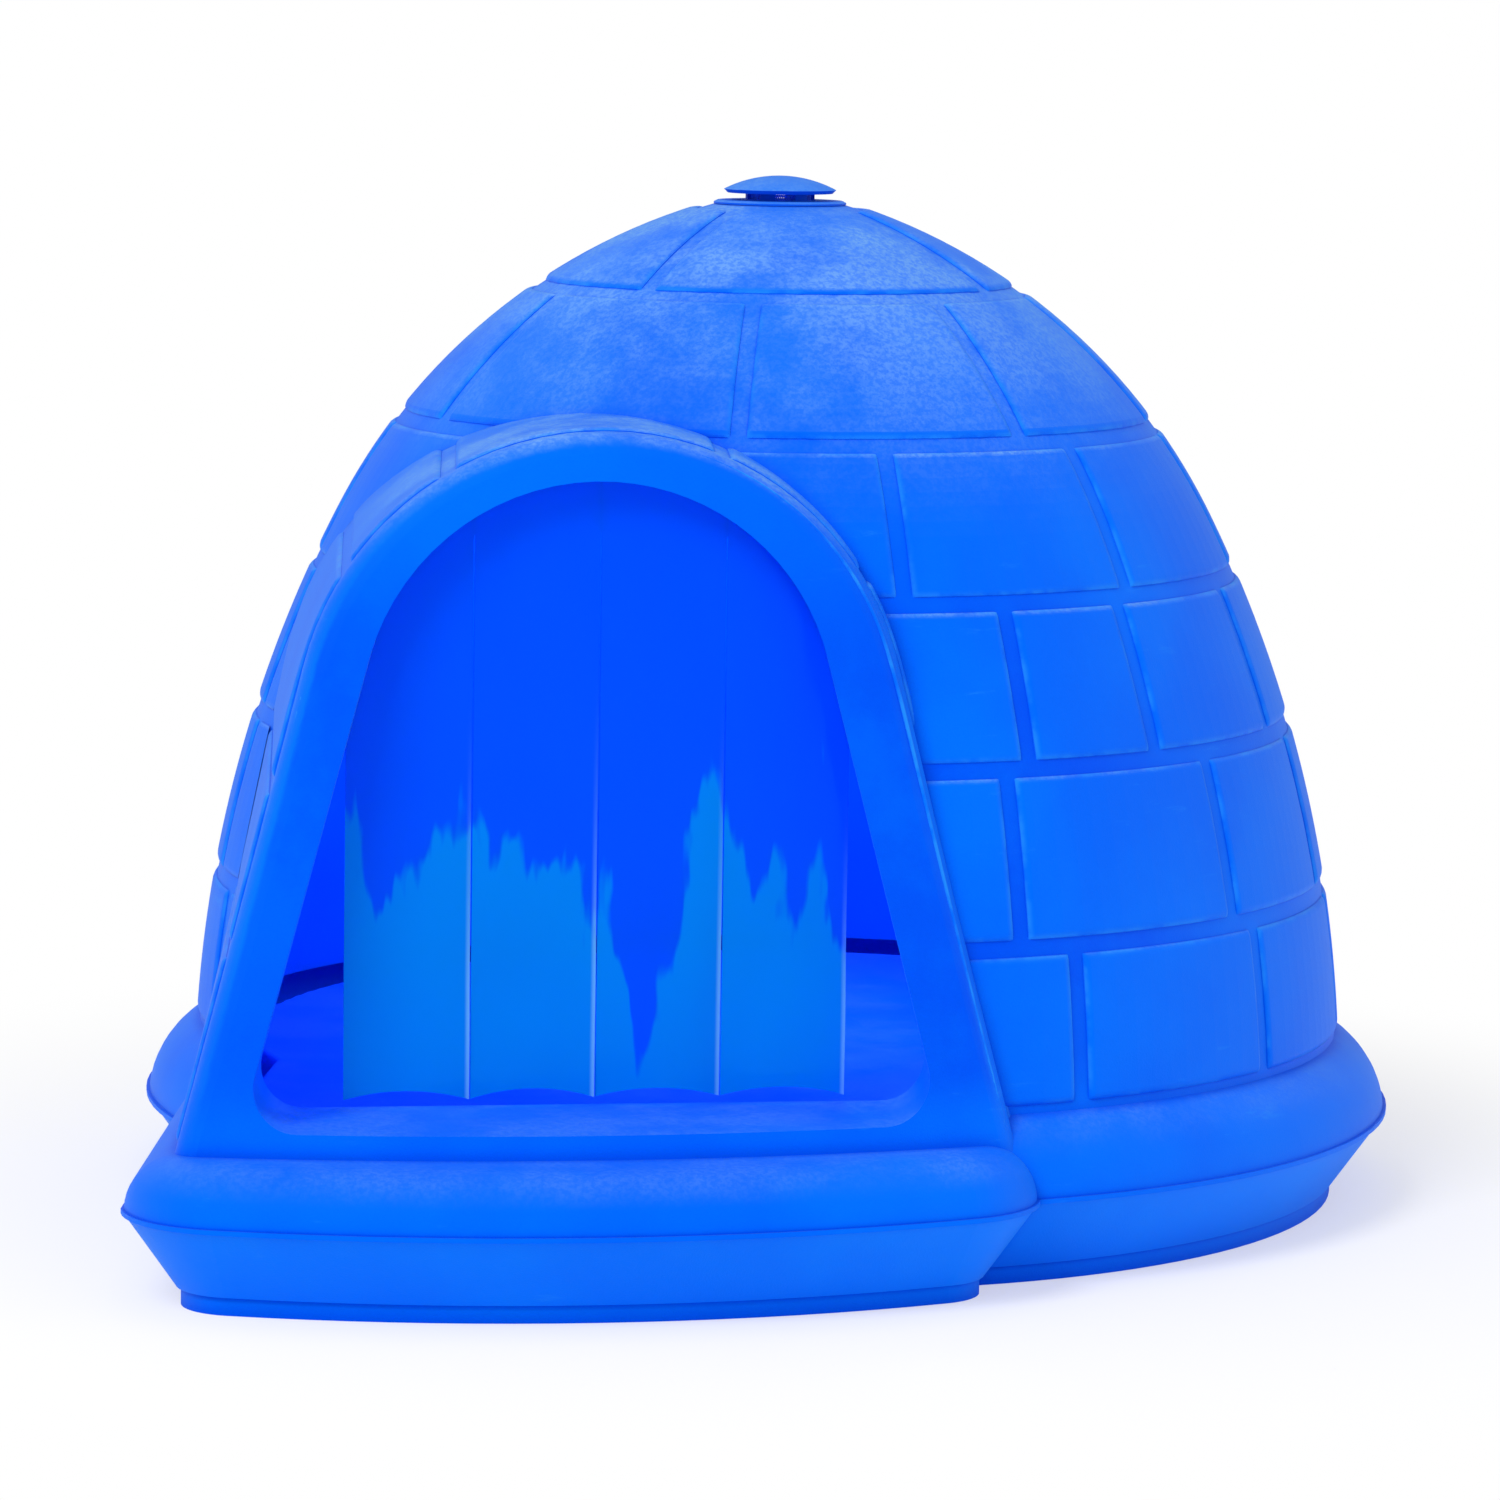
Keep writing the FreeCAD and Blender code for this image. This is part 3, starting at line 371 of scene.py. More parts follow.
# %% Small hardware
def hardware(name, light, dark, metallic, rough):
    material, tree, shader = new_material(name)
    spots = between(tree, noise(tree, 350.0, 4.0, 0.6), 0.35, 0.65)
    tint = blend_colours(tree, spots, colour(dark), colour(light))
    tree.links.new(tint, shader.inputs["Base Color"])
    tree.links.new(between(tree, spots, 0.0, 1.0, rough, rough + 0.15), shader.inputs["Roughness"])
    shader.inputs["Metallic"].default_value = metallic
    bumped(tree, shader, noise(tree, 1200.0, 2.0), 0.1 * MM, 0.4)
    return material


aluminium = hardware("plain aluminium, rivets", "#D6D8DC", "#B4B7BC", 1.0, 0.32)
zinc = hardware("zinc plate on steel, bolts", "#C9CBD0", "#A3A6AD", 1.0, 0.28)
nylon = hardware("black nylon, nuts and ring", "#1B1C1F", "#0E0F11", 0.0, 0.45)
mesh_nylon = hardware("blue nylon, vent gauze", "#1E6CF0", "#1254D8", 0.0, 0.6)

NODE_MATERIALS = {
    "upper_shell": face_plastic,
    "base_pan": pan_plastic,
    "door_header": vinyl,
    "door_clamp": shell_plastic,
    "door_rivets": aluminium,
    "vent_collar": vent_plastic,
    "vent_cap": vent_plastic,
    "vent_retainer": nylon,
    "shell_bolts": zinc,
    "nut_washers": zinc,
    "wing_nuts": nylon,
}
for number in (1, 2, 3, 4):
    NODE_MATERIALS[f"door_strip_{number}"] = vinyl
for name, material in NODE_MATERIALS.items():
    nodes[name].data.materials.clear()
    nodes[name].data.materials.append(material)
print("materials on", len(NODE_MATERIALS), "CAD nodes")

# %% [markdown]
# ## The dome's surface as numbers
# The dome is turned from two arcs that meet at the shoulder: a flat flank arc and a tighter
# crown arc. Both are followed by one length, measured up along the surface, so a block can be
# laid out as on a flat sheet and keeps its groove width everywhere.

# %% Arcs of the dome
DOME_RADIUS = 400 * MM
FLANK = {"radius": 900 * MM, "height": 60 * MM, "across": (400 - 900) * MM}
CROWN_RADIUS = 420 * MM
SHOULDER = 470 * MM
shoulder_turn = math.asin((SHOULDER - FLANK["height"]) / FLANK["radius"])
CROWN = {
    "radius": CROWN_RADIUS,
    "height": FLANK["height"] + (FLANK["radius"] - CROWN_RADIUS) * math.sin(shoulder_turn),
    "across": FLANK["across"] + (FLANK["radius"] - CROWN_RADIUS) * math.cos(shoulder_turn),
}


def climb(height):
    """Length up along the dome's surface to a height, from the middle of the flank arc."""
    if height < SHOULDER:
        return FLANK["radius"] * math.asin((height - FLANK["height"]) / FLANK["radius"])
    turn = math.asin((height - CROWN["height"]) / CROWN["radius"])
    return FLANK["radius"] * shoulder_turn + CROWN["radius"] * (turn - shoulder_turn)


# %% [markdown]
# ## Courses of moulded blocks
# The mould is cut like an ice house: rings of blocks with grooves between, each ring's joints
# out of step with the next. A course is its two heights, the joints that the photograph shows,
# in degrees from the doorway side towards the right, and how many more share the rest evenly.

# %% Blocks of each course
COURSES = (
    (624, 679.5, (-41.8, 51.4), 2),
    (533, 624, (-69.2, -14.3, 29.8, 71.3), 4),
    (434, 533, (6.8, 38.7, 73.0), 8),
    (330, 434, (19.2, 36.3, 61.6), 11),
    (217, 330, (16.3, 44.4, 68.1), 11),
    (111, 217, (22.2, 47.9), 12),
)


def course_joints(seen, more):
    """The joints of one ring: those seen, then the rest of the way round in equal steps."""
    step = (seen[0] + 360 - seen[-1]) / (more + 1)
    return [*seen, *[seen[-1] + step * i for i in range(1, more + 1)], seen[0] + 360]


rows = []
for low, high, seen, more in COURSES:
    joints = course_joints(seen, more)
    for start, finish in zip(joints, joints[1:]):
        rows.append(
            {
                "start": math.radians(start),
                "finish": math.radians(finish),
                "low": climb(low * MM),
                "high": climb(high * MM),
            }
        )
print(len(rows), "blocks on the dome")

# %% [markdown]
# ## One block
# A block is a thin box whose points are crowded towards its rim. The rim drops under the shell
# in a quarter round, so light catches it as it does on a moulded edge. The same profile serves
# the dome and the tunnel.

# %% Rim profile of a block
GROOVE = 9.5 * MM
PROUD = 2.5 * MM
SUNK = 1.5 * MM
RIM = 6.0 * MM
RIM_SHARE = 0.28  # share of a block's points on each side that the rim takes
BLOCK_POINTS = (25, 21)  # points across and up one block


def along_block(sums, share, length):
    """Distance along a block for a share of its points, crowded at both ends, and how far the
    point is from its rim as 0..1."""
    inner = sums.less(1.0, share)
    near = sums.of("MINIMUM", share, inner)
    rim = sums.of("MINIMUM", sums.over(near, RIM_SHARE), 1.0)
    rest = sums.over(sums.of("MAXIMUM", sums.less(near, RIM_SHARE), 0.0), 0.5 - RIM_SHARE)
    half_rest = sums.less(sums.times(length, 0.5), RIM)
    distance = sums.add(sums.times(rim, RIM), sums.times(rest, half_rest))
    far_side = sums.of("GREATER_THAN", share, 0.5)
    place = sums.mix(far_side, distance, sums.less(length, distance))
    drop = sums.less(1.0, rim)
    return place, sums.of("SQRT", sums.less(1.0, sums.times(drop, drop)))


def block_grid(tree, across, up):
    """A unit box with its corner at zero, whose place in the box is kept as an attribute."""
    cube = add_node(
        tree, "GeometryNodeMeshCube",
        {"Size": (1, 1, 1), "Vertices X": across, "Vertices Y": up, "Vertices Z": 2},
    )
    corner = add_node(
        tree, "GeometryNodeTransform", {"Geometry": cube.outputs[0], "Translation": (0.5, 0.5, 0.5)}
    )
    kept = add_node(
        tree, "GeometryNodeStoreNamedAttribute",
        {
            "Geometry": corner.outputs[0],
            "Name": "share",
            "Value": add_node(tree, "GeometryNodeInputPosition").outputs[0],
        },
        data_type="FLOAT_VECTOR",
    )
    return kept.outputs[0]


def named(tree, name, kind="FLOAT"):
    node = add_node(tree, "GeometryNodeInputNamedAttribute", {"Name": name}, data_type=kind)
    return node.outputs["Attribute"]


def blocks_on_points(tree, given, block):
    """A block at every point, made real, with its shares split in three."""
    laid = add_node(
        tree, "GeometryNodeInstanceOnPoints",
        {"Points": given.outputs["Geometry"], "Instance": block},
    )
    real = add_node(tree, "GeometryNodeRealizeInstances", {"Geometry": laid.outputs[0]})
    shares = add_node(tree, "ShaderNodeSeparateXYZ", {0: named(tree, "share", "FLOAT_VECTOR")})
    return real.outputs[0], shares.outputs


def lift_of(sums, rim_a, rim_b, top):
    """Height over the shell: the pillow on the block's top, a flat below it."""
    pillow = sums.times(rim_a, rim_b)
    raised = sums.less(sums.times(pillow, PROUD + SUNK), SUNK)
    return sums.mix(top, -2.0 * SUNK, raised), pillow


def keep_worn_and_highlight(tree, sums, geometry, pillow, top):
    """Marks the shoulder of the rim, where a hand or a paw rubs the colour pale and a painted
    highlight is laid.
    """
    ridge = sums.times(sums.times(pillow, sums.less(1.0, pillow)), 4.0)
    value = sums.times(sums.of("POWER", ridge, 1.5), top)
    kept = add_node(
        tree, "GeometryNodeStoreNamedAttribute",
        {"Geometry": geometry, "Name": "worn", "Value": value}, data_type="FLOAT",
    )
    return kept.outputs[0]


def moved(tree, geometry, x, y, z):
    place = add_node(tree, "ShaderNodeCombineXYZ", {0: x, 1: y, 2: z})
    node = add_node(
        tree, "GeometryNodeSetPosition", {"Geometry": geometry, "Position": place.outputs[0]}
    )
    return node.outputs[0]


def carved(tree, geometry, solid):
    """The geometry less a closed solid."""
    tool = add_node(tree, "GeometryNodeObjectInfo", {"Object": solid})
    node = add_node(tree, "GeometryNodeMeshBoolean", operation="DIFFERENCE", solver="MANIFOLD")
    feed(tree, node.inputs["Mesh 1"], geometry)
    feed(tree, node.inputs["Mesh 2"], tool.outputs["Geometry"])
    return node.outputs["Mesh"]


# %% [markdown]
# ## The tunnel as a form
# The doorway tunnel is a loft between two arches: a narrow one in the door plane and a rounder
# one inside the dome. The same two arches lay out its blocks and, reaching further down, cut
# the dome's blocks away where the tunnel passes through.

# %% Two arches
FRONT_ARCH = {"centre": -178 * MM, "half": 269.6 * MM, "lean": 15.5, "crown": 190 * MM}
REAR_ARCH = {"centre": -126 * MM, "half": 268 * MM, "lean": 11.1, "crown": 218 * MM}
ARCH_BASE = 96 * MM
CUT_BASE = 40 * MM  # the cutting solid starts well below the arches' feet
LOFT_FRONT = -487 * MM  # the front arch stands ahead of the bowed face
FACE = {"front": -447 * MM, "height": 100 * MM, "lean": 12.5, "bow": 1100 * MM}


def arch_points(centre, half, lean, crown, base=ARCH_BASE, steps=48):
    """An arch from its left foot over the top to its right foot, as (x, z)."""
    lean = math.radians(lean)
    middle = ARCH_BASE + (half * math.cos(lean) - crown) / math.sin(lean)
    foot = half - (base - ARCH_BASE) * math.tan(lean)
    points = [(centre - foot, base)]
    for i in range(steps + 1):
        angle = (math.pi - lean) + (2 * lean - math.pi) * i / steps
        points.append((centre + crown * math.cos(angle), middle + crown * math.sin(angle)))
    points.append((centre + foot, base))
    return points


def arch_curve(name, arch, y):
    """One arch as a poly curve that a tree can sample."""
    points = arch_points(**arch)
    data = bpy.data.curves.new(name, "CURVE")
    data.dimensions = "3D"
    spline = data.splines.new("POLY")
    spline.points.add(len(points) - 1)
    for point, (x, z) in zip(spline.points, points):
        point.co = (x, y, z, 1.0)
    curve = bpy.data.objects.new(name, data)
    bpy.context.scene.collection.objects.link(curve)
    return curve


def closed_solid(name, verts, faces):
    """A helper solid from its points and faces, for a boolean to use."""
    mesh = bpy.data.meshes.new(name)
    mesh.from_pydata(verts, [], faces)
    solid = bpy.data.objects.new(name, mesh)
    bpy.context.scene.collection.objects.link(solid)
    return solid


def loft_solid(name):
    """The tunnel's outside as a closed solid."""
    front = arch_points(**FRONT_ARCH, base=CUT_BASE)
    rear = arch_points(**REAR_ARCH, base=CUT_BASE)
    count = len(front)
    verts = [(x, LOFT_FRONT, z) for x, z in front] + [(x, 0.0, z) for x, z in rear]
    faces = [(i, i + 1, i + 1 + count, i + count) for i in range(count - 1)]
    faces.append((count - 1, 0, count, 2 * count - 1))
    faces.append(tuple(reversed(range(count))))
    faces.append(tuple(range(count, 2 * count)))
    return closed_solid(name, verts, faces)


tunnel_cutter = loft_solid("tunnel_cutter")
front_arch = arch_curve("front_arch", FRONT_ARCH, LOFT_FRONT)
rear_arch = arch_curve("rear_arch", REAR_ARCH, 0.0)

# %% [markdown]
# ## Dome blocks
# Every point of a block's box is laid on the dome: across becomes an angle, up becomes a length
# along the arc, and its lift moves it along the arc's radius. One boolean then takes away what
# lies inside the tunnel, as the mould maker's blend does.


# %% Tree of the dome blocks
def dome_block_tree():
    tree, given = piece_tree("dome_blocks", (), ("Tunnel",))
    sums = Sums(tree)
    blocks, (across, up, top) = blocks_on_points(tree, given, block_grid(tree, *BLOCK_POINTS))
    low, high = named(tree, "low"), named(tree, "high")
    start, finish = named(tree, "start"), named(tree, "finish")
    rise, rim_up = along_block(sums, up, sums.less(sums.less(high, low), GROOVE))
    length = sums.add(sums.add(low, GROOVE / 2), rise)
    on_flank = FLANK["radius"] * shoulder_turn
    crown_part = sums.of("GREATER_THAN", length, on_flank)
    flank_turn = sums.over(length, FLANK["radius"])
    crown_turn = sums.add(sums.over(sums.less(length, on_flank), CROWN["radius"]), shoulder_turn)
    turn = sums.mix(crown_part, flank_turn, crown_turn)
    bend = sums.mix(crown_part, FLANK["radius"], CROWN["radius"])
    bend_across = sums.mix(crown_part, FLANK["across"], CROWN["across"])
    bend_height = sums.mix(crown_part, FLANK["height"], CROWN["height"])
    plain_radius = sums.add(bend_across, sums.times(bend, sums.of("COSINE", turn)))
    round_way = sums.less(sums.times(plain_radius, sums.less(finish, start)), GROOVE)
    run, rim_across = along_block(sums, across, round_way)
    angle = sums.add(start, sums.over(sums.add(run, GROOVE / 2), plain_radius))
    lift, pillow = lift_of(sums, rim_across, rim_up, top)
    reach = sums.add(bend, lift)
    radius = sums.add(bend_across, sums.times(reach, sums.of("COSINE", turn)))
    height = sums.add(bend_height, sums.times(reach, sums.of("SINE", turn)))
    x = sums.times(radius, sums.of("SINE", angle))
    y = sums.times(sums.times(radius, sums.of("COSINE", angle)), -1.0)
    marked = keep_worn_and_highlight(tree, sums, blocks, pillow, top)
    laid = moved(tree, marked, x, y, height)
    end_tree(tree, given, carved(tree, laid, given.outputs["Tunnel"]))
    return tree


dome_blocks = grow(
    "dome_blocks", dome_block_tree(), point_mesh("dome_block_points", rows),
    {"Tunnel": tunnel_cutter, "Material": shell_plastic},
)
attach(dome_blocks, "shell")

# %% [markdown]
# ## Tunnel blocks
# On the tunnel the grooves run from front to back, and a smooth band is left behind the face,
# where the mould parts. A block's box is laid between the two arches: across becomes a way
# along the arch, up becomes the depth, and its lift points out from the arch.

# %% Where the tunnel's grooves are, as a share of the way over the arch
TUNNEL_GROOVES = (0.0, 0.113, 0.205, 0.330, 0.408, 0.568, 0.675, 0.795, 0.900, 1.0)
FACE_BAND = 22 * MM
TUNNEL_END = -60 * MM

tunnel_rows = [
    {"start": start, "finish": finish}
    for start, finish in zip(TUNNEL_GROOVES, TUNNEL_GROOVES[1:])
]
arch_line = arch_points(**FRONT_ARCH)
arch_length = sum(math.dist(a, b) for a, b in zip(arch_line, arch_line[1:]))
print(f"{len(tunnel_rows)} blocks over an arch of {arch_length:.3f} m")


def dome_solid(name, steps=144, rings=60):
    """The dome's outside as a closed solid."""
    top = climb(681 * MM)
    profile = [(DOME_RADIUS, 20 * MM)]
    for i in range(rings + 1):
        length = top * i / rings
        on_flank = FLANK["radius"] * shoulder_turn
        arc = FLANK if length <= on_flank else CROWN
        turn = (
            length / FLANK["radius"]
            if length <= on_flank
            else shoulder_turn + (length - on_flank) / CROWN["radius"]
        )
        profile.append(
            (
                arc["across"] + arc["radius"] * math.cos(turn),
                arc["height"] + arc["radius"] * math.sin(turn),
            )
        )
    verts = []
    for radius, height in profile:
        for i in range(steps):
            angle = 2 * math.pi * i / steps
            verts.append((radius * math.cos(angle), radius * math.sin(angle), height))
    faces = []
    for ring in range(len(profile) - 1):
        for i in range(steps):
            a, b = ring * steps + i, ring * steps + (i + 1) % steps
            faces.append((a, b, b + steps, a + steps))
    faces.append(tuple(reversed(range(steps))))
    faces.append(tuple(range(len(verts) - steps, len(verts))))
    return closed_solid(name, verts, faces)


def arch_sample(tree, given, label, share):
    """Place and direction on one arch at a share of the way over it."""
    curve = add_node(tree, "GeometryNodeObjectInfo", {"Object": given.outputs[label]})
    node = add_node(tree, "GeometryNodeSampleCurve", mode="FACTOR", use_all_curves=True)
    feed(tree, node.inputs["Curves"], curve.outputs["Geometry"])
    feed(tree, node.inputs["Factor"], share)
    place = add_node(tree, "ShaderNodeSeparateXYZ", {0: node.outputs["Position"]})
    way = add_node(tree, "ShaderNodeSeparateXYZ", {0: node.outputs["Tangent"]})
    return place.outputs, way.outputs


def face_depth(sums, place):
    """Y of the bowed, leaning face of the tunnel at a place's X and Z."""
    lean = math.radians(FACE["lean"])
    aside = sums.less(place["X"], FRONT_ARCH["centre"])
    chord = sums.of("SQRT", sums.less(FACE["bow"] ** 2, sums.times(aside, aside)))
    sag = sums.over(sums.less(FACE["bow"], chord), math.cos(lean))
    slope = sums.times(sums.less(place["Z"], FACE["height"]), math.tan(lean))
    return sums.add(sums.add(slope, sag), FACE["front"])


def tunnel_block_tree():
    tree, given = piece_tree("tunnel_blocks", ("Arch length",), ("Front", "Rear", "Dome"))
    sums = Sums(tree)
    blocks, (across, deep, top) = blocks_on_points(tree, given, block_grid(tree, *BLOCK_POINTS))
    start, finish = named(tree, "start"), named(tree, "finish")
    whole = given.outputs["Arch length"]
    wide = sums.less(sums.times(sums.less(finish, start), whole), GROOVE)
    run, rim_across = along_block(sums, across, wide)
    share = sums.add(start, sums.over(sums.add(run, GROOVE / 2), whole))

    front, way = arch_sample(tree, given, "Front", share)
    rear = arch_sample(tree, given, "Rear", share)[0]
    face = sums.add(face_depth(sums, front), FACE_BAND)
    depth, rim_deep = along_block(sums, deep, sums.less(TUNNEL_END, face))
    y = sums.add(face, depth)
    back = sums.less(1.0, sums.over(y, LOFT_FRONT))
    lift, pillow = lift_of(sums, rim_across, rim_deep, top)
    x = sums.less(sums.mix(back, front["X"], rear["X"]), sums.times(way["Z"], lift))
    z = sums.add(sums.mix(back, front["Z"], rear["Z"]), sums.times(way["X"], lift))
    marked = keep_worn_and_highlight(tree, sums, blocks, pillow, top)
    laid = moved(tree, marked, x, y, z)
    end_tree(tree, given, carved(tree, laid, given.outputs["Dome"]))
    return tree


dome_cutter = dome_solid("dome_cutter")
tunnel_blocks = grow(
    "tunnel_blocks", tunnel_block_tree(), point_mesh("tunnel_block_points", tunnel_rows),
    {
        "Arch length": arch_length,
        "Front": front_arch,
        "Rear": rear_arch,
        "Dome": dome_cutter,
        "Material": shell_plastic,
    },
)
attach(tunnel_blocks, "shell")

# %% [markdown]
# ## Parting line
# The mould splits along the rounded edge of the doorway's face and leaves a low ridge there.
# The whole ridge is painted pale, a painted highlight along that rounded edge, so it is the
# palest line on the house. It is a small tube swept along the arch, most of it sunk in the plastic.

# %% Ridge round the face
RIDGE = 1.7 * MM
EDGE_ROUND = 16 * MM
EDGE_INSET = EDGE_ROUND * (1 - math.sqrt(0.5))  # from the two faces to the middle of the round


def parting_line_tree():
    tree, given = piece_tree("parting_line", ("Ridge", "Inset"), ("Front", "Rear"))
    sums = Sums(tree)
    line = add_node(tree, "GeometryNodeCurvePrimitiveLine")
    points = add_node(tree, "GeometryNodeResampleCurve", {"Curve": line.outputs[0], "Count": 240})
    share = add_node(tree, "GeometryNodeSplineParameter").outputs["Factor"]
    front, way = arch_sample(tree, given, "Front", share)
    rear = arch_sample(tree, given, "Rear", share)[0]
    y = sums.add(face_depth(sums, front), given.outputs["Inset"])
    back = sums.less(1.0, sums.over(y, LOFT_FRONT))
    inset = sums.times(given.outputs["Inset"], -1.0)
    x = sums.less(sums.mix(back, front["X"], rear["X"]), sums.times(way["Z"], inset))
    z = sums.add(sums.mix(back, front["Z"], rear["Z"]), sums.times(way["X"], inset))
    path = moved(tree, points.outputs[0], x, y, z)
    ring = add_node(
        tree, "GeometryNodeCurvePrimitiveCircle",
        {"Resolution": 10, "Radius": given.outputs["Ridge"]}, mode="RADIUS",
    )
    tube = add_node(
        tree, "GeometryNodeCurveToMesh",
        {"Curve": path, "Profile Curve": ring.outputs[0], "Fill Caps": True},
    )
    # painted highlight: the whole ridge is marked pale
    ridge_highlight = add_node(
        tree, "GeometryNodeStoreNamedAttribute",
        {"Geometry": tube.outputs[0], "Name": "worn", "Value": 1.0}, data_type="FLOAT",
    )
    end_tree(tree, given, ridge_highlight.outputs[0])
    return tree


parting_line = grow(
    "parting_line", parting_line_tree(), point_mesh("parting_line_start", [{"at": 0.0}]),
    {
        "Ridge": RIDGE, "Inset": EDGE_INSET, "Front": front_arch, "Rear": rear_arch,
        "Material": shell_plastic,
    },
)
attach(parting_line, "shell")
for helper in (tunnel_cutter, dome_cutter, front_arch, rear_arch):
    bpy.data.objects.remove(helper)

# %% [markdown]
# ## Screen in the vent
# Behind the windows of the vent's stem sits a sleeve of fine blue gauze that keeps insects
# out. It is two layers of slanted threads that cross, each thread a thin bar from the bottom
# to the top of the sleeve.

# %% Gauze sleeve
STEM_INSIDE = 21.5 * MM


def gauze_tree():
    sizes = ("Radius", "Thread", "Height", "Lean", "Bottom", "Count")
    tree, given = piece_tree("vent_gauze", sizes)
    sums = Sums(tree)
    value = given.outputs
    both = add_node(tree, "GeometryNodeJoinGeometry")
    for hand in (-1.0, 1.0):
        size = add_node(
            tree, "ShaderNodeCombineXYZ",
            {0: value["Thread"], 1: value["Thread"], 2: value["Height"]},
        )
        bar = add_node(tree, "GeometryNodeMeshCube", {"Size": size.outputs[0], "Vertices Z": 3})
        ring = add_node(
            tree, "GeometryNodeMeshCircle",
            {"Radius": sums.less(value["Radius"], sums.times(value["Thread"], 0.7 + 0.5 * hand))},
        )
        feed(tree, ring.inputs["Vertices"], value["Count"])
        here = add_node(tree, "GeometryNodeInputPosition")
        place = add_node(tree, "ShaderNodeSeparateXYZ", {0: here.outputs[0]})
        turn = sums.of("ARCTAN2", place.outputs["Y"], place.outputs["X"])
        lean = sums.times(value["Lean"], hand)
        facing = add_node(tree, "ShaderNodeCombineXYZ", {0: lean, 2: turn})
        spun = add_node(
            tree, "GeometryNodeInstanceOnPoints",
            {"Points": ring.outputs[0], "Instance": bar.outputs[0], "Rotation": facing.outputs[0]},
        )
        tree.links.new(spun.outputs[0], both.inputs[0])
    high = add_node(tree, "ShaderNodeCombineXYZ", {2: value["Bottom"]})
    lifted = add_node(
        tree, "GeometryNodeTransform", {"Geometry": both.outputs[0], "Translation": high.outputs[0]}
    )
    end_tree(tree, given, lifted.outputs[0])
    return tree


gauze = grow(
    "vent_gauze", gauze_tree(), point_mesh("gauze_start", [{"at": 0.0}]),
    {
        "Radius": STEM_INSIDE, "Thread": 0.6 * MM, "Height": 9.0 * MM, "Lean": 0.25,
        "Bottom": 684.5 * MM, "Count": 90, "Material": mesh_nylon,
    },
)
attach(gauze, "vent")

# %% [markdown]
# ## Door sheet
# The real door is one sheet, slit from below into four strips, and it bends where the slits
# end. Each strip is made here with its share of the uncut top, so that no hinge gap shows, and
# bends from the top of its slits down. Soft vinyl never hangs flat: it bows and ripples more
# towards its free end, and its bottom edge is cut in shallow scallops.

# %% Strips
header_low, header_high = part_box("door_header")
SHEET_FRONT, SHEET_BACK = header_low[1], header_high[1]
SHEET_MIDDLE = (header_low[0] + header_high[0]) / 2
STRIP_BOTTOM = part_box("door_strip_1")[0][2]
OPENING_ARCH = 150.8 * MM
OVERLAP = 19 * MM  # the sheet reaches this far past the opening
ARCH_RADIUS = OPENING_ARCH + OVERLAP
ARCH_HEIGHT = header_high[2] - ARCH_RADIUS
SLIT = 0.8 * MM  # narrower than the CAD gap, as slits in soft vinyl close up
SLIT_TOP = 480 * MM
HINGES = {1: 300 * MM, 2: 480 * MM, 3: 480 * MM, 4: 300 * MM}
BOWS = {1: 3.0 * MM, 2: -2.0 * MM, 3: 3.5 * MM, 4: 2.0 * MM}
RIPPLE = 16 * MM
SCALLOP = 6 * MM
STRIP_POINTS = (17, 97)


def vinyl_strip_tree():
    sizes = (
        "Left", "Right", "Slit left", "Slit right", "Bottom", "Slit top", "Bow", "Ripple",
        "Scallop", "Drift",
    )
    tree, given = piece_tree("vinyl_strip", sizes)
    sums = Sums(tree)
    sheet = block_grid(tree, *STRIP_POINTS)
    shares = add_node(tree, "ShaderNodeSeparateXYZ", {0: named(tree, "share", "FLOAT_VECTOR")})
    across, up, through = shares.outputs
    value = given.outputs
    aside = sums.less(sums.mix(across, value["Left"], value["Right"]), SHEET_MIDDLE)
    arch = sums.of("SQRT", sums.less(ARCH_RADIUS**2, sums.times(aside, aside)))
    top = sums.add(arch, ARCH_HEIGHT)
    centred = sums.less(sums.times(across, 2.0), 1.0)
    round_cut = sums.less(1.0, sums.times(centred, centred))
    bottom = sums.add(value["Bottom"], sums.times(value["Scallop"], round_cut))
    z = sums.mix(up, bottom, top)
    free = add_node(
        tree, "ShaderNodeMapRange",
        {"Value": z, "From Min": value["Slit top"], "From Max": value["Bottom"]},
    ).outputs[0]
    slit = sums.of("GREATER_THAN", free, 0.0)
    left = sums.add(value["Left"], sums.times(value["Slit left"], slit))
    right = sums.less(value["Right"], sums.times(value["Slit right"], slit))
    x = sums.mix(across, left, right)
    spot = add_node(tree, "ShaderNodeCombineXYZ", {0: x, 2: z})
    wander = add_node(
        tree, "ShaderNodeTexNoise", {"Vector": spot.outputs[0], "Scale": 7.0, "Detail": 1.0},
        noise_dimensions="4D",
    )
    feed(tree, wander.inputs["W"], value["Drift"])
    ripple = sums.times(sums.less(wander.outputs["Fac"], 0.5), value["Ripple"])
    bow = sums.times(round_cut, value["Bow"])
    out = sums.times(sums.add(ripple, bow), sums.of("POWER", free, 1.3))
    thick = sums.times(through, SHEET_BACK - SHEET_FRONT)
    y = sums.less(sums.add(thick, SHEET_FRONT), out)
    end_tree(tree, given, moved(tree, sheet, x, y, z))
    return tree


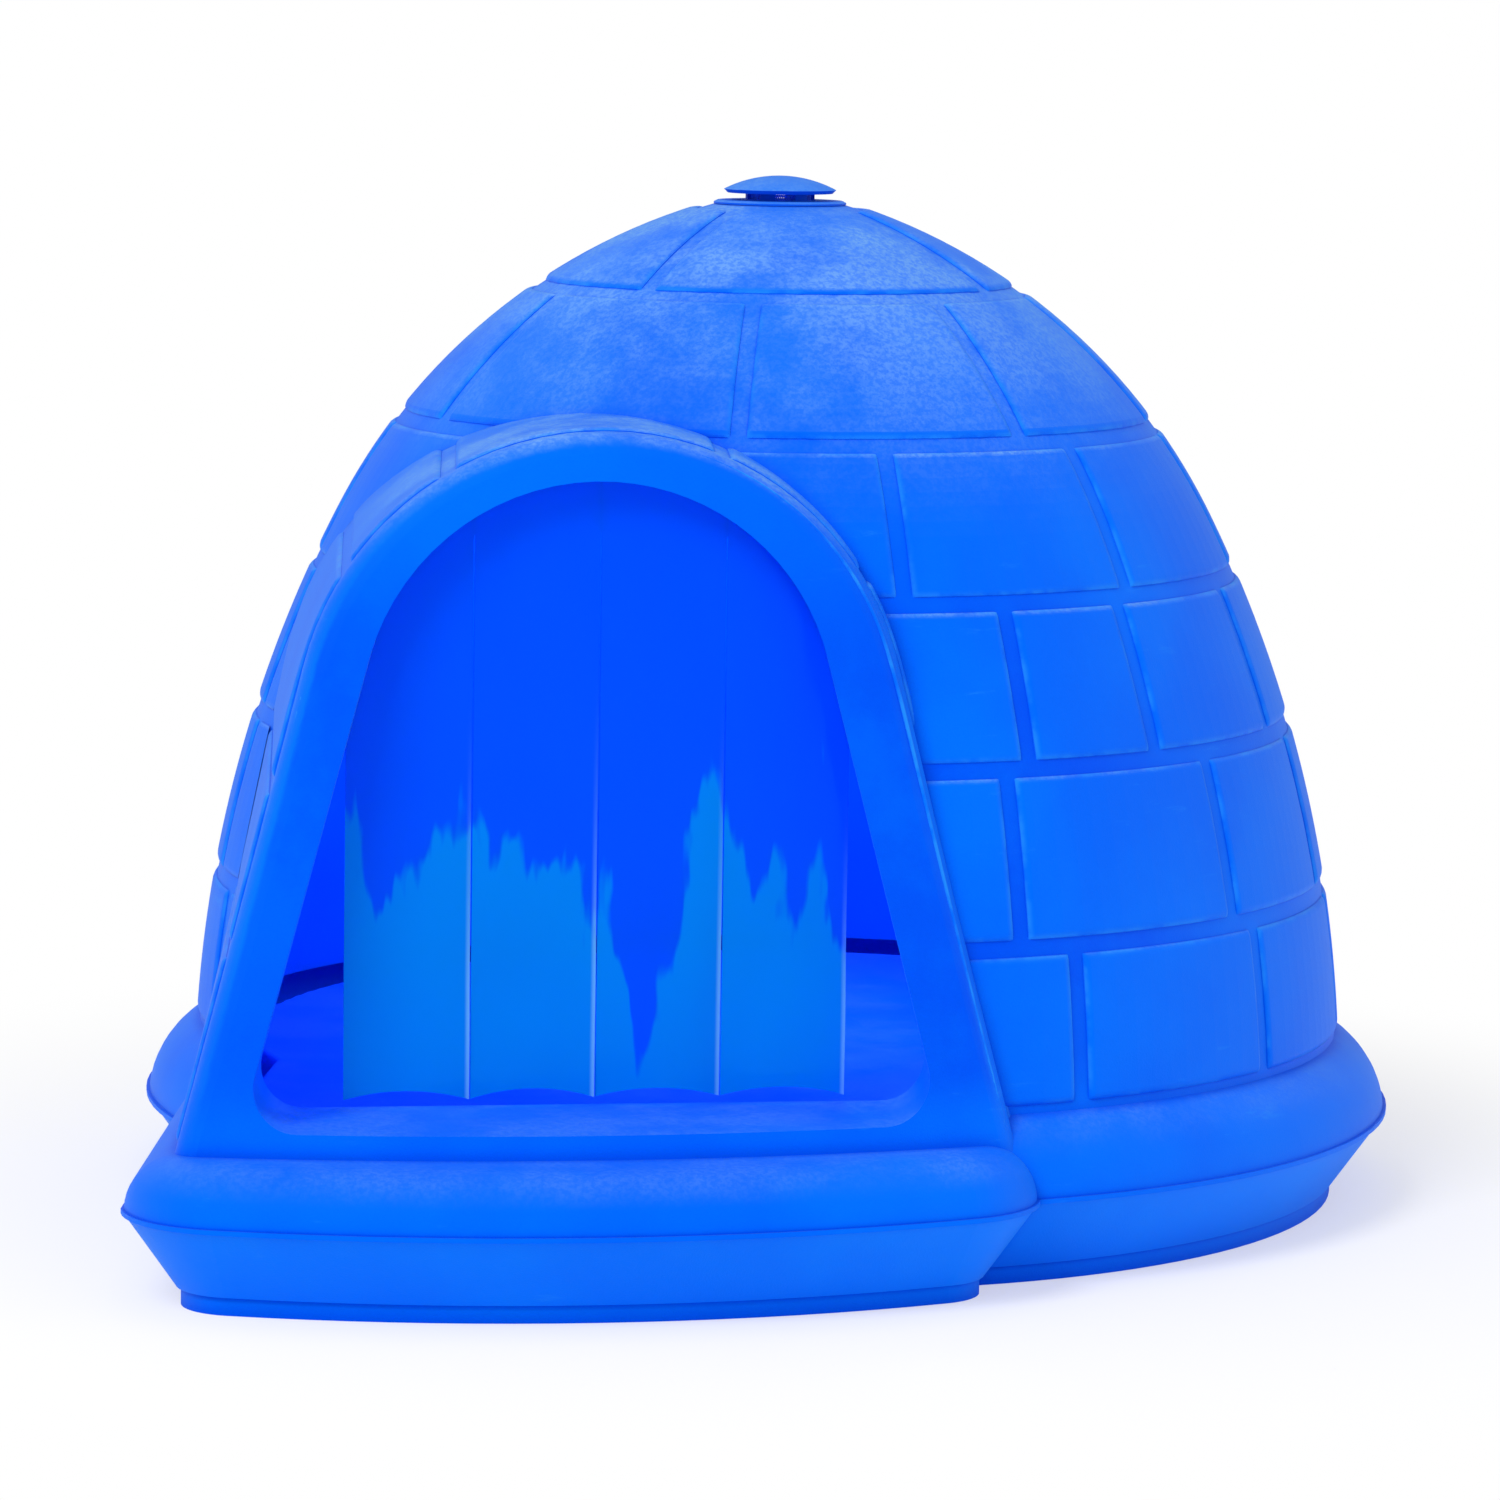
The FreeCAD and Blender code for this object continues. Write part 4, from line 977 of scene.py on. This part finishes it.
strip_tree = vinyl_strip_tree()
strip_width = (header_high[0] - header_low[0]) / 4
for number, hinge in HINGES.items():
    left = header_low[0] + strip_width * (number - 1)
    strip = grow(
        f"vinyl_strip_{number}", strip_tree, point_mesh(f"strip_start_{number}", [{"at": 0.0}]),
        {
            "Left": left,
            "Right": left + strip_width,
            "Slit left": 0.0 if number == 1 else SLIT / 2,
            "Slit right": 0.0 if number == 4 else SLIT / 2,
            "Bottom": STRIP_BOTTOM,
            "Slit top": SLIT_TOP,
            "Bow": BOWS[number],
            "Ripple": RIPPLE,
            "Scallop": SCALLOP,
            "Drift": number * 3.7,
            "Material": vinyl,
        },
    )
    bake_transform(strip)
    if number == 1:
        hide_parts("door_header", f"door_strip_{number}")
    else:
        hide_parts(f"door_strip_{number}")

# %% [markdown]
# ## Camera
# The photograph was taken from a little left of the doorway's side and from just above the
# dome's middle, with a long lens. The distance and angles were found by fitting known points.

# %% Camera
VIEW = {"distance": 4.21, "azimuth": -8.54, "elevation": 7.17, "roll": 0.87}
TARGET = Vector((-0.0152, 0.0, 0.2999))
azimuth, elevation = math.radians(VIEW["azimuth"]), math.radians(VIEW["elevation"])
back = Vector(
    (
        math.sin(azimuth) * math.cos(elevation),
        -math.cos(azimuth) * math.cos(elevation),
        math.sin(elevation),
    )
)
camera_data = bpy.data.cameras.new("camera")
camera_data.lens, camera_data.sensor_width = 144.0, 36.0
camera = bpy.data.objects.new("camera", camera_data)
camera.location = TARGET + back * VIEW["distance"]
camera.rotation_mode = "QUATERNION"
camera.rotation_quaternion = (-back).to_track_quat("-Z", "Y") @ Matrix.Rotation(
    math.radians(VIEW["roll"]), 4, "Z"
).to_quaternion()
bpy.context.scene.collection.objects.link(camera)
bpy.context.scene.camera = camera

# %% [markdown]
# ## Studio
# A pale floor, a soft sky all round, one broad key lamp from the upper left and a weak fill
# from the right. The background
# is white for the camera alone; the light that falls on the house stays at a plain level. A
# faint lamp inside stands for the daylight that real moulded walls let through.

# %% Floor
floor_mesh = bpy.data.meshes.new("floor")
REACH = 15.0
floor_mesh.from_pydata(
    [(-REACH, -REACH, 0), (REACH, -REACH, 0), (REACH, REACH, 0), (-REACH, REACH, 0)],
    [],
    [(0, 1, 2, 3)],
)
floor = bpy.data.objects.new("floor", floor_mesh)
bpy.context.scene.collection.objects.link(floor)


def paper_material():
    """White paper that takes the house's shadow, and plain white further away."""
    material, tree, shader = new_material("white paper floor")
    shader.inputs["Base Color"].default_value = colour("#FDFDFD")
    shader.inputs["Roughness"].default_value = 0.9
    shader.inputs["Specular IOR Level"].default_value = 0.1
    place = add_node(tree, "ShaderNodeTexCoord").outputs["Object"]
    span = add_node(tree, "ShaderNodeVectorMath", {0: place}, operation="LENGTH")
    away = between(tree, span.outputs["Value"], 0.42, 0.95, 0.5, 1.0)
    seen = add_node(tree, "ShaderNodeLightPath").outputs["Is Camera Ray"]
    plain = add_node(tree, "ShaderNodeEmission", {"Color": (1, 1, 1, 1), "Strength": 1.0})
    mixed = add_node(
        tree, "ShaderNodeMixShader", {0: Sums(tree).times(away, seen), 1: shader.outputs[0]}
    )
    tree.links.new(plain.outputs[0], mixed.inputs[2])
    tree.links.new(mixed.outputs[0], tree.nodes["Material Output"].inputs["Surface"])
    return material


floor_mesh.materials.append(paper_material())

# %% Sky and lamps
SKY = 0.64
world = bpy.data.worlds.new("soft sky")
world.use_nodes = True
sky = world.node_tree
sky_light = sky.nodes["Background"]
sky_light.inputs["Color"].default_value = (1, 1, 1, 1)
sky_light.inputs["Strength"].default_value = SKY
seen = add_node(sky, "ShaderNodeBackground", {"Color": (1, 1, 1, 1), "Strength": 1.0})
ray = add_node(sky, "ShaderNodeLightPath")
either = add_node(
    sky, "ShaderNodeMixShader", {0: ray.outputs["Is Camera Ray"], 1: sky_light.outputs[0]}
)
sky.links.new(seen.outputs[0], either.inputs[2])
sky.links.new(either.outputs[0], sky.nodes["World Output"].inputs[0])
bpy.context.scene.world = world


def lamp(name, watts, across, place, aim):
    data = bpy.data.lights.new(name, "AREA")
    data.energy, data.size = watts, across
    piece = bpy.data.objects.new(name, data)
    piece.location = place
    piece.rotation_euler = (Vector(aim) - Vector(place)).to_track_quat("-Z", "Y").to_euler()
    bpy.context.scene.collection.objects.link(piece)
    return piece


lamp("key", 134.0, 2.0, (-2.4, -3.0, 3.8), (0, 0, 0.3))
lamp("fill", 13.0, 1.6, (2.9, -1.2, 0.9), (0, 0, 0.25))
inner = bpy.data.lights.new("inside glow", "POINT")
inner.energy, inner.shadow_soft_size = 2.6, 0.08
inner_lamp = bpy.data.objects.new("inside glow", inner)
inner_lamp.location = (0.02, 0.02, 0.42)
inner_lamp.visible_glossy = False
inner_lamp.visible_transmission = False
bpy.context.scene.collection.objects.link(inner_lamp)

# %% Finish
bpy.context.scene.view_settings.view_transform = "Standard"
